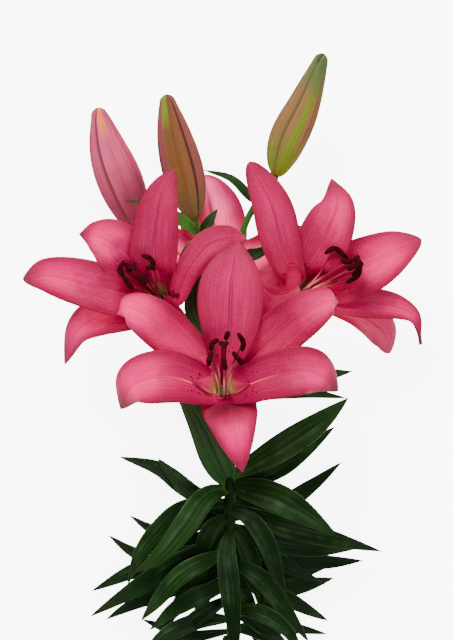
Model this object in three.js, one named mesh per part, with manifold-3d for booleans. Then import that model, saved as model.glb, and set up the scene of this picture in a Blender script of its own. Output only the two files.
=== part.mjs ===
// A cut stem of a hybrid lily, lying on a surface: a leafy stem with four open blooms and three buds.
// Millimetres. The surface is z = 0, the stem runs along +Y and its head is at the +Y end.
import * as THREE from 'three';
import { mergeVertices } from 'three/addons/utils/BufferGeometryUtils.js';
import Module from 'manifold-3d';

const wasm = await Module();
wasm.setup();

// Driving dimensions
const STEM_PATH = [[7, -299, 5], [7, -150, 26], [5, -30, 43], [3, 60, 57], [2, 94, 61]];
const STEM_RADIUS = 4.4;
const STALK_RADIUS = 2.3;
const LEAF_THICK = 0.8;
const TEPAL_THICK = 0.9;
const LEAF_TIP = 0.6;
const TEPAL_TIP = 2.2;
const SEAT_GAP = 0.3;
const RECEPTACLE_RADIUS = 5.4;
const TEPAL_RING = { inside: 4.1, outside: 5.7, height: 4, root: 4.9 };
const STAMEN_RING = { inside: 2.1, outside: 3.75, height: 2 };
const FILAMENT = { radius: 0.85, ringRadius: 2.8, bow: 4.4, bowHeight: 24, sides: 3 };
const ANTHER = { radius: 1.9, sides: 4 };
const OVARY = { radius: 1.6, length: 15 };
const STYLE = { radius: 1.4, sides: 5 };
const STIGMA_RADIUS = 3.4;

const vec = ([x, y, z]) => new THREE.Vector3(x, y, z);
const curveThrough = (points) => new THREE.CatmullRomCurve3(points, false, 'catmullrom', 0.5);
const stemCurve = curveThrough(STEM_PATH.map(vec));

// The point on the stem's centre line at a given y.
function stemAt(y) {
  let low = 0;
  let high = 1;
  for (let step = 0; step < 30; step += 1) {
    const middle = (low + high) / 2;
    if (stemCurve.getPoint(middle).y < y) low = middle;
    else high = middle;
  }
  return stemCurve.getPoint(low);
}

// The frame of a curve at u. Its normal is as near to the face as it can be in the middle of the
// curve, and is carried from there to both ends without twisting. A root face turns it at the root.
const CARRY_STEPS = 12;
const ROOT_SHARE = 0.45;
function frameAt(curve, u, face, rootFace) {
  const normal = face.clone();
  const tangent = new THREE.Vector3();
  for (let step = 0; step <= CARRY_STEPS; step += 1) {
    tangent.copy(curve.getTangent(THREE.MathUtils.lerp(0.5, u, step / CARRY_STEPS)));
    normal.addScaledVector(tangent, -normal.dot(tangent)).normalize();
  }
  if (rootFace) {
    normal.lerp(rootFace, 1 - THREE.MathUtils.smoothstep(u, 0, ROOT_SHARE));
    normal.addScaledVector(tangent, -normal.dot(tangent)).normalize();
  }
  return { point: curve.getPoint(u), normal, side: tangent.clone().cross(normal) };
}

// Bends a shape that stands on y = 0 to 1 along a curve: x goes to the curve's side, z to its normal.
function sweep(geometry, curve, face = new THREE.Vector3(0, 0, 1), rootFace = null) {
  const place = geometry.attributes.position;
  const frames = new Map();
  for (let index = 0; index < place.count; index += 1) {
    const u = THREE.MathUtils.clamp(place.getY(index), 0, 1);
    if (!frames.has(u)) frames.set(u, frameAt(curve, u, face, rootFace));
    const { point, normal, side } = frames.get(u);
    const moved = point.clone();
    moved.addScaledVector(side, place.getX(index));
    moved.addScaledVector(normal, place.getZ(index));
    place.setXYZ(index, moved.x, moved.y, moved.z);
  }
  return geometry;
}

// A closed body: shared vertices are merged, and triangles that this leaves without area are dropped.
function bare(geometry) {
  const copy = geometry.clone();
  copy.deleteAttribute('normal');
  copy.deleteAttribute('uv');
  const merged = mergeVertices(copy, 1e-4);
  const kept = [];
  for (let index = 0; index < merged.index.count; index += 3) {
    const [a, b, c] = merged.index.array.subarray(index, index + 3);
    if (a !== b && b !== c && c !== a) kept.push(a, b, c);
  }
  merged.setIndex(kept);
  return merged;
}

function solid(geometry) {
  return new wasm.Manifold(new wasm.Mesh({
    numProp: 3,
    vertProperties: new Float32Array(geometry.attributes.position.array),
    triVerts: new Uint32Array(geometry.index.array),
  }));
}

// Joined into one body. A pocket that crossing blades close in is filled: only the outer skin is kept.
function fuse(geometries) {
  const whole = geometries.map(solid).reduce((sum, next) => sum.add(next));
  return whole.decompose().reduce((largest, next) => (next.volume() > largest.volume() ? next : largest));
}

function geometryOf(body) {
  const mesh = body.getMesh();
  const geometry = new THREE.BufferGeometry();
  const count = mesh.numProp;
  const places = new Float32Array((mesh.vertProperties.length / count) * 3);
  for (let index = 0; index < places.length / 3; index += 1) {
    places.set(mesh.vertProperties.subarray(index * count, index * count + 3), index * 3);
  }
  geometry.setAttribute('position', new THREE.BufferAttribute(places, 3));
  geometry.setIndex(new THREE.BufferAttribute(new Uint32Array(mesh.triVerts), 1));
  return geometry;
}

// Outlines of blades: the share of the greatest width at u, from the root (0) to the tip (1).
const outlineOf = (widest, bluntness, root) => (u) => {
  const bow = Math.sin(Math.PI * u ** (Math.log(0.5) / Math.log(widest))) ** bluntness;
  return Math.hypot(bow, root * (1 - u));
};
const INNER_TEPAL = outlineOf(0.57, 0.56, 0.2);
const TALL_TEPAL = outlineOf(0.66, 0.52, 0.2);
const LANCE_TEPAL = outlineOf(0.49, 0.62, 0.32);
const LIPPED_TEPAL = outlineOf(0.54, 0.8, 0.3);
const WAISTED_TEPAL = outlineOf(0.66, 0.8, 0.2);
const SPOON_TEPAL = outlineOf(0.73, 0.6, 0.2);
const POINTED_TEPAL = outlineOf(0.46, 1, 0.2);
const ROLLED_TEPAL = outlineOf(0.43, 0.88, 0.2);
const OUTER_TEPAL = outlineOf(0.5, 0.84, 0.2);
const HANGING_TEPAL = outlineOf(0.4, 0.75, 0.15);
const STRAP_TEPAL = outlineOf(0.7, 0.75, 0.74);
const DRIP_TEPAL = outlineOf(0.42, 1.05, 0.2);
const LEAF = outlineOf(0.42, 0.85, 0.3);

const between = ([first, middle, last], u) => (u < 0.5
  ? THREE.MathUtils.lerp(first, middle, u * 2)
  : THREE.MathUtils.lerp(middle, last, u * 2 - 1));

// A thin blade. Its section at u is an arc whose edges turn up, towards the face, by the curl in
// degrees (root, middle, tip). A wave lifts and lowers its edges. Both faces have the same triangles.
function blade({ path, width, outline, thick, face = [0, 0, 1], rootFace = null, curl = [20, 15, 5],
  wave = 0, waves = 2.4, phase = 0, tip = LEAF_TIP, spread = 1, along = 5, across = 2 }) {
  const sheet = new THREE.PlaneGeometry(2, 1, across, along);
  const place = sheet.attributes.position;
  const count = place.count;
  const curve = curveThrough(path);
  const points = [];
  for (const layer of [0.5, -0.5]) {
    for (let index = 0; index < count; index += 1) {
      const v = place.getX(index);
      const u = THREE.MathUtils.clamp(place.getY(index) + 0.5, 0, 1) ** spread;
      const half = Math.max((width / 2) * outline(u), tip);
      const bend = THREE.MathUtils.degToRad(between(curl, u)) || 1e-3;
      const lift = wave * v * v * Math.sin(Math.PI * 2 * waves * u + phase + (v > 0 ? 1.7 : 0));
      const x = (half * Math.sin(bend * v)) / bend;
      const z = (half * (1 - Math.cos(bend * v))) / bend + lift * Math.sin(Math.PI * u);
      points.push(x - layer * thick * Math.sin(bend * v), u, z + layer * thick * Math.cos(bend * v));
    }
  }
  const triangles = [];
  const faces = sheet.index.array;
  for (let index = 0; index < faces.length; index += 3) {
    const [a, b, c] = faces.subarray(index, index + 3);
    triangles.push(a, b, c, c + count, b + count, a + count);
  }
  const rim = (from, to) => triangles.push(from, from + count, to, to, from + count, to + count);
  const row = across + 1;
  for (let step = 0; step < across; step += 1) {
    rim(step + 1, step);
    rim(along * row + step, along * row + step + 1);
  }
  for (let step = 0; step < along; step += 1) {
    rim(step * row, (step + 1) * row);
    rim((step + 1) * row + across, step * row + across);
  }
  const geometry = new THREE.BufferGeometry();
  geometry.setAttribute('position', new THREE.BufferAttribute(new Float32Array(points), 3));
  geometry.setIndex(triangles);
  return layDown(sweep(geometry, curve, vec(face), rootFace), count, thick);
}

// What would sink into the surface is pressed flat on it, at its full thickness.
function layDown(geometry, count, thick) {
  const place = geometry.attributes.position;
  for (let index = 0; index < count; index += 1) {
    const heights = [place.getZ(index), place.getZ(index + count)];
    const lowest = Math.min(...heights);
    if (lowest >= 0) continue;
    const flipped = heights[0] < heights[1];
    const highest = Math.max(heights[0] - lowest, heights[1] - lowest, thick);
    place.setZ(index, flipped ? 0 : highest);
    place.setZ(index + count, flipped ? highest : 0);
  }
  return geometry;
}

// A round stalk along a path, tapering from its root to its end.
function stalk(path, rootRadius, endRadius, sides, steps) {
  const rod = new THREE.CylinderGeometry(endRadius, rootRadius, 1, sides, steps);
  return sweep(bare(rod.translate(0, 0.5, 0)), curveThrough(path), new THREE.Vector3(0.3, 0.2, 1));
}

// A lathed shape on a path. Its profile gives radius and share of the path, and it may have lobes.
function turned(profile, path, sides, lobes = 0, depth = 0) {
  const shape = bare(new THREE.LatheGeometry(profile.map(([r, y]) => new THREE.Vector2(r, y)), sides));
  const place = shape.attributes.position;
  for (let index = 0; index < place.count; index += 1) {
    const x = place.getX(index);
    const z = place.getZ(index);
    const ridge = 1 + depth * Math.cos(lobes * Math.atan2(z, x));
    place.setXYZ(index, x * ridge, place.getY(index), z * ridge);
  }
  return sweep(shape, curveThrough(path), new THREE.Vector3(0.2, 0.1, 1));
}

// Leaves of the upper stem, from the head down: the height y at which each leaves the stem, its width,
// and points on its midrib.
const LEAVES = [
  { y: 34, width: 15, path: [[40, 51, 62], [70, 58, 60], [97.4, 61.8, 46]] },
  { y: 30, width: 11, path: [[28, 44.5, 58], [60, 46, 52], [93.5, 41.7, 36]] },
  { y: -18, width: 21, path: [[34, -1, 60], [57, 13, 60], [77, 27, 50], [94.5, 41.7, 36]] },
  { y: -24, width: 17, path: [[35.1, -13.5, 46], [58.3, 0.5, 42], [84.5, 20, 28]] },
  { y: -24, width: 23, path: [[34, -31, 62], [58, -43, 64], [86.3, -62.6, 48]] },
  { y: -24, width: 22, path: [[-5, -5, 59], [-19, 21, 68], [-46, 68, 62]] },
  { y: -26, width: 18.5, path: [[-13, -33, 60], [-28, -53, 66], [-47, -76, 58], [-66.3, -89.9, 44]] },
  { y: -36, width: 15, path: [[-28, -41, 50], [-48, -57, 50], [-63.3, -76.9, 40], [-72, -99.3, 26]] },
  { y: -40, width: 13, path: [[-21.5, -30.5, 44], [-35.5, -18.5, 38], [-49.3, -3.7, 28]] },
  { y: -48, width: 14, path: [[-26.2, -27.7, 34], [-48.4, -11.8, 24], [-78.7, -2.9, 8]] },
  { y: -40, width: 16, path: [[45.2, -54.7, 46], [80.4, -63.9, 38], [119.9, -74.4, 16]] },
  { y: -50, width: 13, path: [[45.2, -37.8, 36], [66.4, -24.8, 28], [89.7, -6.9, 16]] },
  { y: -42, width: 14.5, path: [[22, -51, 60], [34, -70, 64], [41, -92, 52], [48.2, -114.1, 38]] },
  { y: -46, width: 13, path: [[-10.1, -57.6, 48], [-15.1, -74.8, 42], [-14.1, -93.2, 32]] },
  { y: -54, width: 15, path: [[42.2, -68, 34], [70.5, -72.2, 26], [100.9, -72.5, 10]] },
  { y: -56, width: 16, path: [[3, -77, 62], [5, -100, 68], [8, -130, 58], [11, -163.4, 38]] },
  { y: -64, width: 9, path: [[-35.3, -63.1, 26], [-54.5, -57.3, 16], [-70.7, -47.4, 6]] },
  { y: -62, width: 16, path: [[-34.2, -82.8, 44], [-66.4, -102.2, 32], [-100.9, -124.1, 6]] },
  { y: -68, width: 14, path: [[-40.2, -79, 36], [-70.5, -90.3, 24], [-100, -104.9, 5]] },
  { y: -74, width: 13, path: [[45.3, -81.3, 22], [78.7, -82.6, 10], [106, -81.8, 0.4]] },
  { y: -74, width: 14.5, path: [[-16, -82, 56], [-34, -93, 58], [-50.2, -111.9, 46], [-61.9, -126.3, 34]] },
  { y: -78, width: 11, path: [[-40.3, -81.3, 24], [-66.6, -75.5, 12], [-86.9, -62.6, 0.4]] },
  { y: -80, width: 14.5, path: [[28, -94, 50], [45.2, -115, 44], [65.4, -143.6, 26]] },
  { y: -85, width: 12, path: [[40.2, -105.1, 36], [60.4, -116.4, 28], [79.6, -126.9, 14]] },
  { y: -88, width: 12, path: [[-40.3, -103.3, 30], [-66.5, -113.6, 18], [-88.9, -126.2, 3]] },
  { y: -92, width: 10, path: [[45.3, -92.4, 20], [60.5, -90.6, 12], [76.7, -87.8, 4]] },
  { y: -98, width: 14, path: [[40.3, -102.4, 24], [62.5, -99.6, 14], [83.8, -94.9, 3]] },
  { y: -98, width: 14, path: [[-16.1, -105.9, 46], [-37.2, -118, 42], [-55.4, -133.5, 28]] },
  { y: -106, width: 12, path: [[22.1, -124.3, 34], [38.2, -137.5, 28], [54.4, -154.1, 12]] },
  { y: -108, width: 12, path: [[-14.1, -120.2, 36], [-30.2, -132.4, 30], [-46.4, -148, 16]] },
  { y: -120, width: 10, path: [[30.2, -130.7, 20], [55.5, -133, 10], [78.8, -137.3, 0.4]] },
  { y: -134, width: 10, path: [[-25.2, -138.8, 18], [-42.4, -133.1, 9], [-61.6, -126.2, 0.4]] },
  { y: -60, width: 14, path: [[20, -76, 30], [32, -92, 24], [40, -112, 14]] },
  { y: -76, width: 14, path: [[-10, -95, 26], [-16, -112, 20], [-20, -132, 10]] },
  { y: -38, width: 14, path: [[-22, -53, 30], [-40, -64, 22], [-56.5, -76, 12]] },
  { y: -30, width: 14, path: [[24, -43, 32], [45, -51, 24], [68.5, -59, 14]] },
  { y: -50, width: 14, path: [[-10.1, -72.8, 42], [-22.1, -96.1, 34], [-34.3, -123.6, 22]] },
  { y: -52, width: 14, path: [[18.1, -72.8, 42], [25.1, -96.1, 36], [30.2, -123.6, 24]] },
  { y: -66, width: 14, path: [[-18, -92, 34], [-32, -112, 26], [-46, -136, 14]] },
  { y: -70, width: 14, path: [[22.1, -93.1, 34], [36.2, -113.4, 26], [52.4, -131.9, 14]] },
  { y: -84, width: 13, path: [[16.1, -107.3, 30], [21.1, -125.6, 24], [26.2, -148.1, 12]] },
  { y: -58, width: 13, path: [[-24.2, -67, 32], [-46.3, -79.2, 24], [-72.6, -93.6, 14]] },
  { y: -60, width: 13, path: [[30.2, -75.1, 30], [52.4, -87.4, 22], [76.6, -99.7, 12]] },
];

// Bracts of the head: the first point is where each one grows from a stalk.
const BRACTS = [
  { width: 19, path: [[1, 84, 59], [-14, 97, 69], [-21.5, 115, 72], [-17, 139, 70]] },
  { width: 11, path: [[-16, 163, 68], [-30, 174.5, 79], [-52, 186.5, 80], [-74, 190, 77]] },
  { width: 8, path: [[-17, 165, 68], [-13, 171, 72], [-9, 177, 73], [-4, 184, 72]] },
  { width: 8, path: [[-15, 160, 69], [-22, 157, 72], [-28, 151, 72], [-34, 143, 70]] },
  { width: 10, path: [[6, 126, 66], [16, 146, 73], [27, 151, 74], [41, 157, 70]] },
  { width: 7, path: [[25.5, 188, 61], [19, 194.5, 63], [6, 207, 62], [-15, 213.5, 57]] },
];

// The lower leaves are a spiral, each turned by the golden angle from the one above it.
const LOWER = { count: 9, top: -118, step: 7, turn: 137.5, start: 40, length: 88, width: 13 };

// Stalks of the blooms, each to its foot along its axis, and of the buds.
const BUD_STALKS = {
  left: [[1, 84, 59], [-20, 122, 58], [-44, 149, 55]],
  centre: [[2, 90, 61], [-2, 118, 68], [-9, 145, 70]],
  right: [[2, 90, 61], [8, 130, 66], [16, 170, 64], [29, 194, 60]],
};

const BUDS = {
  left: { radius: 16.7, belly: 0.74, path: [[-61, 166, 52], [-74.3, 200, 50], [-85.8, 229.5, 49], [-94, 259.5, 50]] },
  centre: { radius: 15, belly: 0.8, path: [[-21.2, 175.5, 67], [-29, 205, 66], [-37, 237, 65], [-43, 269, 65]] },
  right: { radius: 14, belly: 0.76, path: [[39.6, 209, 57], [49, 235, 55], [61.5, 262, 54], [75.5, 300, 55]] },
};

// Blooms. The foot is the top of the receptacle and the axis is the way the bloom faces. A tepal's path
// lists points on its midrib past the funnel. Anthers lie across their filaments, seen from above.
const inner = { outline: INNER_TEPAL, rise: 22, flare: 12.5, curl: [42, 18, -12] };
const outer = { outline: OUTER_TEPAL, rise: 19, flare: 14, curl: [38, 16, -16] };
const BLOOMS = {
  front: {
    foot: [0, 44, 86],
    axis: [0, 0.5, 0.866],
    stalk: [[4, 8, 49], [4, 22, 62], [1, 37, 76]],
    tepals: [
      { ...inner, outline: WAISTED_TEPAL, width: 50, path: [[5, 95, 107], [6.5, 128, 108], [12, 159, 102]] },
      { ...inner, outline: LIPPED_TEPAL, rise: 8, flare: 8, curl: [36, 18, -12], width: 40,
        path: [[-34, 57, 114], [-54, 57.5, 122], [-69.5, 50, 114], [-76.5, 34, 99]] },
      { ...inner, outline: LIPPED_TEPAL, rise: 8, flare: 8, curl: [36, 18, -12], width: 37,
        path: [[35, 58, 117], [59, 63, 122], [75, 58.5, 114], [86, 47.5, 101]] },
      { ...outer, outline: ROLLED_TEPAL, width: 35,
        path: [[-41, 91, 109], [-59, 105, 116], [-72, 110, 111], [-79, 105, 101]] },
      { ...outer, outline: ROLLED_TEPAL, width: 36,
        path: [[44, 92, 107], [64, 107, 115], [79, 115, 111], [86, 114, 101]] },
      { ...outer, outline: HANGING_TEPAL, rise: 7, flare: 9, curl: [18, 8, -16], width: 41,
        path: [[6.5, 29, 102], [10, 11, 106], [14.5, -13, 96]] },
    ],
    anthers: [
      [[-9, 77], [-8, 83], [-3, 86], 131], [[-8, 77], [-10, 72], [-11, 66], 136],
      [[2, 86], [3, 89], [4, 92], 126], [[11, 91], [15, 84], [14, 77], 129],
      [[7, 77], [11, 72], [15, 67], 137], [[0, 73], [1, 68], [2, 63], 139],
    ],
    stigma: [0.5, 82, 132],
  },
  left: {
    foot: [-46, 115, 62],
    axis: [-0.33, 0.35, 0.876],
    stalk: [[3, 48, 55], [-16, 78, 57], [-36, 103, 52]],
    tepals: [
      { ...inner, outline: LANCE_TEPAL, width: 36.5,
        path: [[-80, 121, 93], [-107, 129, 98], [-132, 134, 94], [-150, 131, 84]] },
      { ...inner, outline: LANCE_TEPAL, width: 36,
        path: [[-52, 145, 93], [-50.5, 168, 101], [-46.5, 192, 104], [-37, 213, 100]] },
      { ...inner, width: 30, path: [[-41, 98, 82], [-38, 85, 86], [-33, 72, 82]] },
      { ...outer, outline: POINTED_TEPAL, width: 41,
        path: [[-68, 144, 90], [-83, 158, 97], [-97, 164, 94], [-108, 165, 86]] },
      { ...outer, outline: STRAP_TEPAL, width: 22, path: [[-35, 118, 85], [-26, 138, 93], [-12, 156, 93],
        [4, 162, 89], [18, 161, 81]] },
      { ...outer, width: 31, path: [[-70, 108, 84], [-92, 103.5, 86], [-109.5, 92, 78], [-119, 67, 60]] },
    ],
    anthers: [
      [[-74, 145], [-77, 138], [-74, 132], 106], [[-74, 133], [-71, 128], [-67, 123], 111],
      [[-63, 135], [-60, 131], [-57, 127], 117], [[-61, 149], [-54, 146], [-51, 140], 113],
      [[-58, 139], [-54, 140], [-50, 138], 119], [[-73, 143], [-71, 140], [-69, 136], 102],
    ],
    stigma: [-67, 140, 112],
  },
  right: {
    foot: [55, 118, 54],
    axis: [0.66, 0.36, 0.66],
    stalk: [[3, 62, 57], [22, 88, 58], [43, 110, 45]],
    tepals: [
      { ...inner, outline: TALL_TEPAL, rise: 12, flare: 9, width: 34,
        path: [[48, 144, 82], [42, 165, 90], [35.5, 189, 93], [19.5, 219, 90]] },
      { ...inner, outline: LANCE_TEPAL, width: 44.5,
        path: [[90, 134, 66], [108, 142, 65], [129, 152.5, 59], [149.5, 161, 46]] },
      { ...inner, outline: SPOON_TEPAL, width: 25,
        path: [[80, 112, 55], [99, 106, 42], [114, 97.5, 28], [122.5, 89, 18], [126, 75.5, 8]] },
      { ...outer, width: 40, path: [[70, 150, 82], [79.5, 170, 87], [85.5, 188, 84], [81.5, 206.5, 75]] },
      { ...outer, outline: DRIP_TEPAL, width: 24,
        path: [[92, 115, 64], [114, 113, 61], [132, 110, 53], [145, 101.5, 44], [149.3, 82, 34]] },
      { ...outer, width: 44, path: [[42, 120.5, 69], [31, 125.5, 69], [18, 135, 62]] },
    ],
    anthers: [
      [[76, 150], [84, 154], [94, 146], 93], [[103, 143], [101, 134], [92, 128], 88],
      [[93, 138], [97, 140], [101, 143], 102], [[98, 147], [101, 145], [105, 141], 84],
      [[97, 133], [101, 138], [104, 143], 80], [[88, 146], [92, 144], [97, 145], 102],
    ],
    stigma: [100, 146, 98],
  },
  back: {
    foot: [-2, 116, 45],
    axis: [0, 0.85, -0.53],
    rows: 4,
    stalk: [[2, 86, 60], [0, 100, 54]],
    tepals: [
      { ...inner, width: 50, path: [[-6, 163, 47], [-10, 188, 45], [-14, 210, 39]], face: [0, 0, -1] },
      { ...inner, width: 38, path: [[-30, 145, 12], [-48, 158, 2], [-68, 172, 0.4]] },
      { ...inner, width: 38, path: [[28, 144, 12], [46, 156, 2], [66, 168, 0.4]] },
      { ...outer, width: 30, path: [[24, 147, 40], [44, 158, 36], [64, 168, 28]], face: [-0.6, 0, -0.8] },
      { ...outer, width: 30, path: [[-28, 147, 40], [-46, 159, 36], [-63, 171, 28]], face: [0.6, 0, -0.8] },
      { ...outer, width: 36, path: [[-2, 143, 8], [-3, 162, 1], [-4, 186, 0.4]] },
    ],
    anthers: [
      [[-10, 158], [-12, 164], [-12, 170], 24], [[2, 160], [8, 164], [12, 168], 23],
      [[-8, 170], [-4, 173], [2, 174], 36], [[6, 156], [11, 160], [16, 162], 33],
      [[-19, 154], [-16, 158], [-11, 160], 33], [[-4, 153], [-3, 160], [-2, 167], 20],
    ],
    stigma: [-2, 168, 25],
  },
};

// The funnel of a tepal: it leaves the ring beside its neighbours, its face turned to the axis, and
// opens towards its first point.
function funnel(foot, axis, { path, rise, flare }) {
  const first = vec(path[0]).sub(foot);
  const outwards = first.addScaledVector(axis, -first.dot(axis)).normalize();
  const at = (height, radius) => foot.clone().addScaledVector(axis, height)
    .addScaledVector(outwards, radius);
  return {
    path: [at(2, TEPAL_RING.root), at(rise, flare), ...path.map(vec)],
    rootFace: outwards.clone().negate(),
  };
}

function tepals({ foot, axis, rows = 7, tepals: list }) {
  const centre = vec(foot);
  const way = vec(axis).normalize();
  const seat = centre.clone().addScaledVector(way, SEAT_GAP);
  const top = centre.clone().addScaledVector(way, SEAT_GAP + TEPAL_RING.height);
  const { inside, outside } = TEPAL_RING;
  const ring = turned([[inside, 0], [outside, 0], [outside, 1], [inside, 1], [inside, 0]],
    [seat, top], 10);
  const blades = list.map((tepal, index) => blade({
    ...tepal,
    ...funnel(centre, way, tepal),
    thick: TEPAL_THICK,
    tip: TEPAL_TIP,
    spread: 0.85,
    along: rows,
    across: 4,
    wave: 1.6,
    phase: index * 1.9,
  }));
  return fuse([ring, ...blades]);
}

function stamens({ foot, axis, anthers }) {
  const centre = vec(foot);
  const way = vec(axis).normalize();
  const seat = centre.clone().addScaledVector(way, SEAT_GAP);
  const top = centre.clone().addScaledVector(way, SEAT_GAP + STAMEN_RING.height);
  const { inside, outside } = STAMEN_RING;
  const pieces = [turned([[inside, 0], [outside, 0], [outside, 1], [inside, 1], [inside, 0]],
    [seat, top], 7)];
  for (const [start, middle, end, z] of anthers) {
    const tip = new THREE.Vector3(middle[0], middle[1], z);
    const outwards = tip.clone().sub(centre);
    outwards.addScaledVector(way, -outwards.dot(way)).normalize();
    const at = (height, radius) => centre.clone().addScaledVector(way, height)
      .addScaledVector(outwards, radius);
    pieces.push(stalk([at(1, FILAMENT.ringRadius), at(FILAMENT.bowHeight, FILAMENT.bow), tip],
      FILAMENT.radius, FILAMENT.radius * 0.85, FILAMENT.sides, 3));
    const { radius, sides } = ANTHER;
    pieces.push(turned([[0, 0], [radius * 0.85, 0.1], [radius, 0.5], [radius * 0.85, 0.9], [0, 1]],
      [vec([...start, z - 1]), vec([...middle, z + 0.6]), vec([...end, z - 1])], sides));
  }
  return fuse(pieces);
}

function pistil({ foot, axis, stigma }) {
  const centre = vec(foot);
  const way = vec(axis).normalize();
  const seat = centre.clone().addScaledVector(way, SEAT_GAP);
  const shoulder = centre.clone().addScaledVector(way, OVARY.length);
  const end = vec(stigma);
  const ovary = turned([[0, 0], [OVARY.radius, 0], [OVARY.radius, 0.85], [OVARY.radius * 0.6, 1], [0, 1]],
    [seat, shoulder], 6);
  const middle = shoulder.clone().lerp(end, 0.5).addScaledVector(way, 1.5);
  const style = stalk([shoulder.clone().addScaledVector(way, -2), middle, end],
    STYLE.radius, STYLE.radius * 1.1, STYLE.sides, 5);
  const along = end.clone().sub(middle).normalize();
  const knob = turned([[0, 0], [STIGMA_RADIUS * 0.6, 0.1], [STIGMA_RADIUS, 0.6], [STIGMA_RADIUS * 0.7, 0.95],
    [0, 1]], [end.clone().addScaledVector(along, -2), end.clone().addScaledVector(along, 1.5)], 9, 3, 0.24);
  return fuse([ovary, style, knob]);
}

// A closed bud: three thick outer tepals meet in three seams, and its blunt tip stands a little open.
function bud({ radius, belly, path }) {
  const shares = [0, 0.04, 0.1, 0.2, 0.32, 0.46, 0.62, 0.76, 0.87, 0.95, 0.99];
  const swell = (u) => (radius - 3) * Math.sin(Math.PI * u ** belly) ** 0.85 + 2.6 + 1.6 * u;
  const profile = [[0, 0], ...shares.map((u) => [swell(u), u]), [0, 1]];
  return turned(profile, path.map(vec), 15, 3, 0.06);
}

function leaf({ width, path }, root) {
  const points = root ? [root, ...path.map(vec)] : path.map(vec);
  return blade({ path: points, width, outline: LEAF, thick: LEAF_THICK, curl: [35, 22, 8],
    wave: width * 0.04, phase: width, along: width > 19 ? 5 : width > 14 ? 4 : 3 });
}

function lowerLeaf(index) {
  const { top, step, turn, start, length, width } = LOWER;
  const root = stemAt(top - step * index);
  const angle = THREE.MathUtils.degToRad(start + turn * index);
  const reachOut = (share, drop) => root.clone().add(new THREE.Vector3(
    Math.cos(angle) * length * share,
    -length * drop,
    Math.sin(angle) * length * share * 0.55 + length * (share * 0.2 - share * share * 0.25),
  ));
  const path = [reachOut(0.3, 0.02), reachOut(0.6, 0.16), reachOut(0.82, 0.42)];
  for (const point of path) point.z = Math.max(point.z, 0.4);
  return blade({ path: [root, ...path], width, outline: LEAF, thick: LEAF_THICK, curl: [35, 20, 8],
    along: 3 });
}

// The receptacle is the swollen end of a bloom's stalk, flat on top.
function bloomStalk({ foot, axis, stalk: path }) {
  const centre = vec(foot);
  const way = vec(axis).normalize();
  const neck = centre.clone().addScaledVector(way, -7);
  const rod = stalk([...path.map(vec), neck, centre.clone().addScaledVector(way, -1)],
    STALK_RADIUS, STALK_RADIUS, 5, 6);
  const cup = turned([[0, 0], [STALK_RADIUS, 0], [RECEPTACLE_RADIUS * 0.9, 0.6], [RECEPTACLE_RADIUS, 1],
    [0, 1]], [centre.clone().addScaledVector(way, -6), centre], 10);
  return [rod, cup];
}

function leafyStem() {
  const [start] = STEM_PATH;
  const slant = stalk([[start[0], start[1] - 1, start[2]], ...STEM_PATH.slice(1)].map(vec),
    STEM_RADIUS * 1.1, STEM_RADIUS * 0.85, 8, 10);
  const pieces = [slant];
  for (const bloom of Object.values(BLOOMS)) pieces.push(...bloomStalk(bloom));
  for (const [name, path] of Object.entries(BUD_STALKS)) {
    const base = vec(BUDS[name].path[0]);
    const way = curveThrough(BUDS[name].path.map(vec)).getTangent(0);
    const below = (distance) => base.clone().addScaledVector(way, -distance);
    pieces.push(stalk([...path.map(vec), below(9), below(SEAT_GAP)], STALK_RADIUS, STALK_RADIUS, 5, 6));
  }
  for (const entry of LEAVES) pieces.push(leaf(entry, stemAt(entry.y)));
  for (const entry of BRACTS) pieces.push(leaf(entry));
  for (let index = 0; index < LOWER.count; index += 1) pieces.push(lowerLeaf(index));
  return fuse(pieces);
}

const finish = (color, roughness) => new THREE.MeshStandardMaterial({ color, roughness, metalness: 0 });
const green = finish(0x2f5a22, 0.45);
const rose = finish(0xd9507a, 0.6);
const maroon = finish(0x3d1410, 0.85);
const crimson = finish(0xa02648, 0.5);
const budColours = { left: 0xb5697c, centre: 0x8a5a44, right: 0x8d7a35 };

const group = new THREE.Group();
function addPiece(name, geometry, material) {
  const mesh = new THREE.Mesh(geometry, material);
  mesh.name = name;
  group.add(mesh);
}

addPiece('leafy_stem', geometryOf(leafyStem()), green);
for (const [name, bloom] of Object.entries(BLOOMS)) {
  addPiece(`bloom_${name}_tepals`, geometryOf(tepals(bloom)), rose);
  addPiece(`bloom_${name}_stamens`, geometryOf(stamens(bloom)), maroon);
  addPiece(`bloom_${name}_pistil`, geometryOf(pistil(bloom)), crimson);
}
for (const [name, entry] of Object.entries(BUDS)) {
  addPiece(`bud_${name}`, bud(entry), finish(budColours[name], 0.5));
}

export default group;
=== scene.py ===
"""A cut stem of a pink hybrid lily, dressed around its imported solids."""
import math
import random

import bmesh
import bpy
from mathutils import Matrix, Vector


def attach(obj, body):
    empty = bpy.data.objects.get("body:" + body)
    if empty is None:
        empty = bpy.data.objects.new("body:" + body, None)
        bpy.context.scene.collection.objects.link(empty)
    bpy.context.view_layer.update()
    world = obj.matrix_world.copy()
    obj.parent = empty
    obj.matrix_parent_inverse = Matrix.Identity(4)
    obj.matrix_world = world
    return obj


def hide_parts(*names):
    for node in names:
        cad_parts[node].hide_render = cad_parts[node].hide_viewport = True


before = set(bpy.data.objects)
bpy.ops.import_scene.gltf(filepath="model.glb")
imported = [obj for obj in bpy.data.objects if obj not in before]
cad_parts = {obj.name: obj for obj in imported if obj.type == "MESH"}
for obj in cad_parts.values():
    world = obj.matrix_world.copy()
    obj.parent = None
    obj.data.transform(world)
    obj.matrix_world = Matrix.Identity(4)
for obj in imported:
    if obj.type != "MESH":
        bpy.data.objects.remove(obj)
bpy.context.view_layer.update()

# --------------------------------------
# The view and the table. The stem lies on a plain white table and the camera looks straight down
# on it, so the head of the lily is at the top of the picture. A broad soft light stands beyond the
# head and a weaker one beyond the foot, and the white room fills the shadows.

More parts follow.
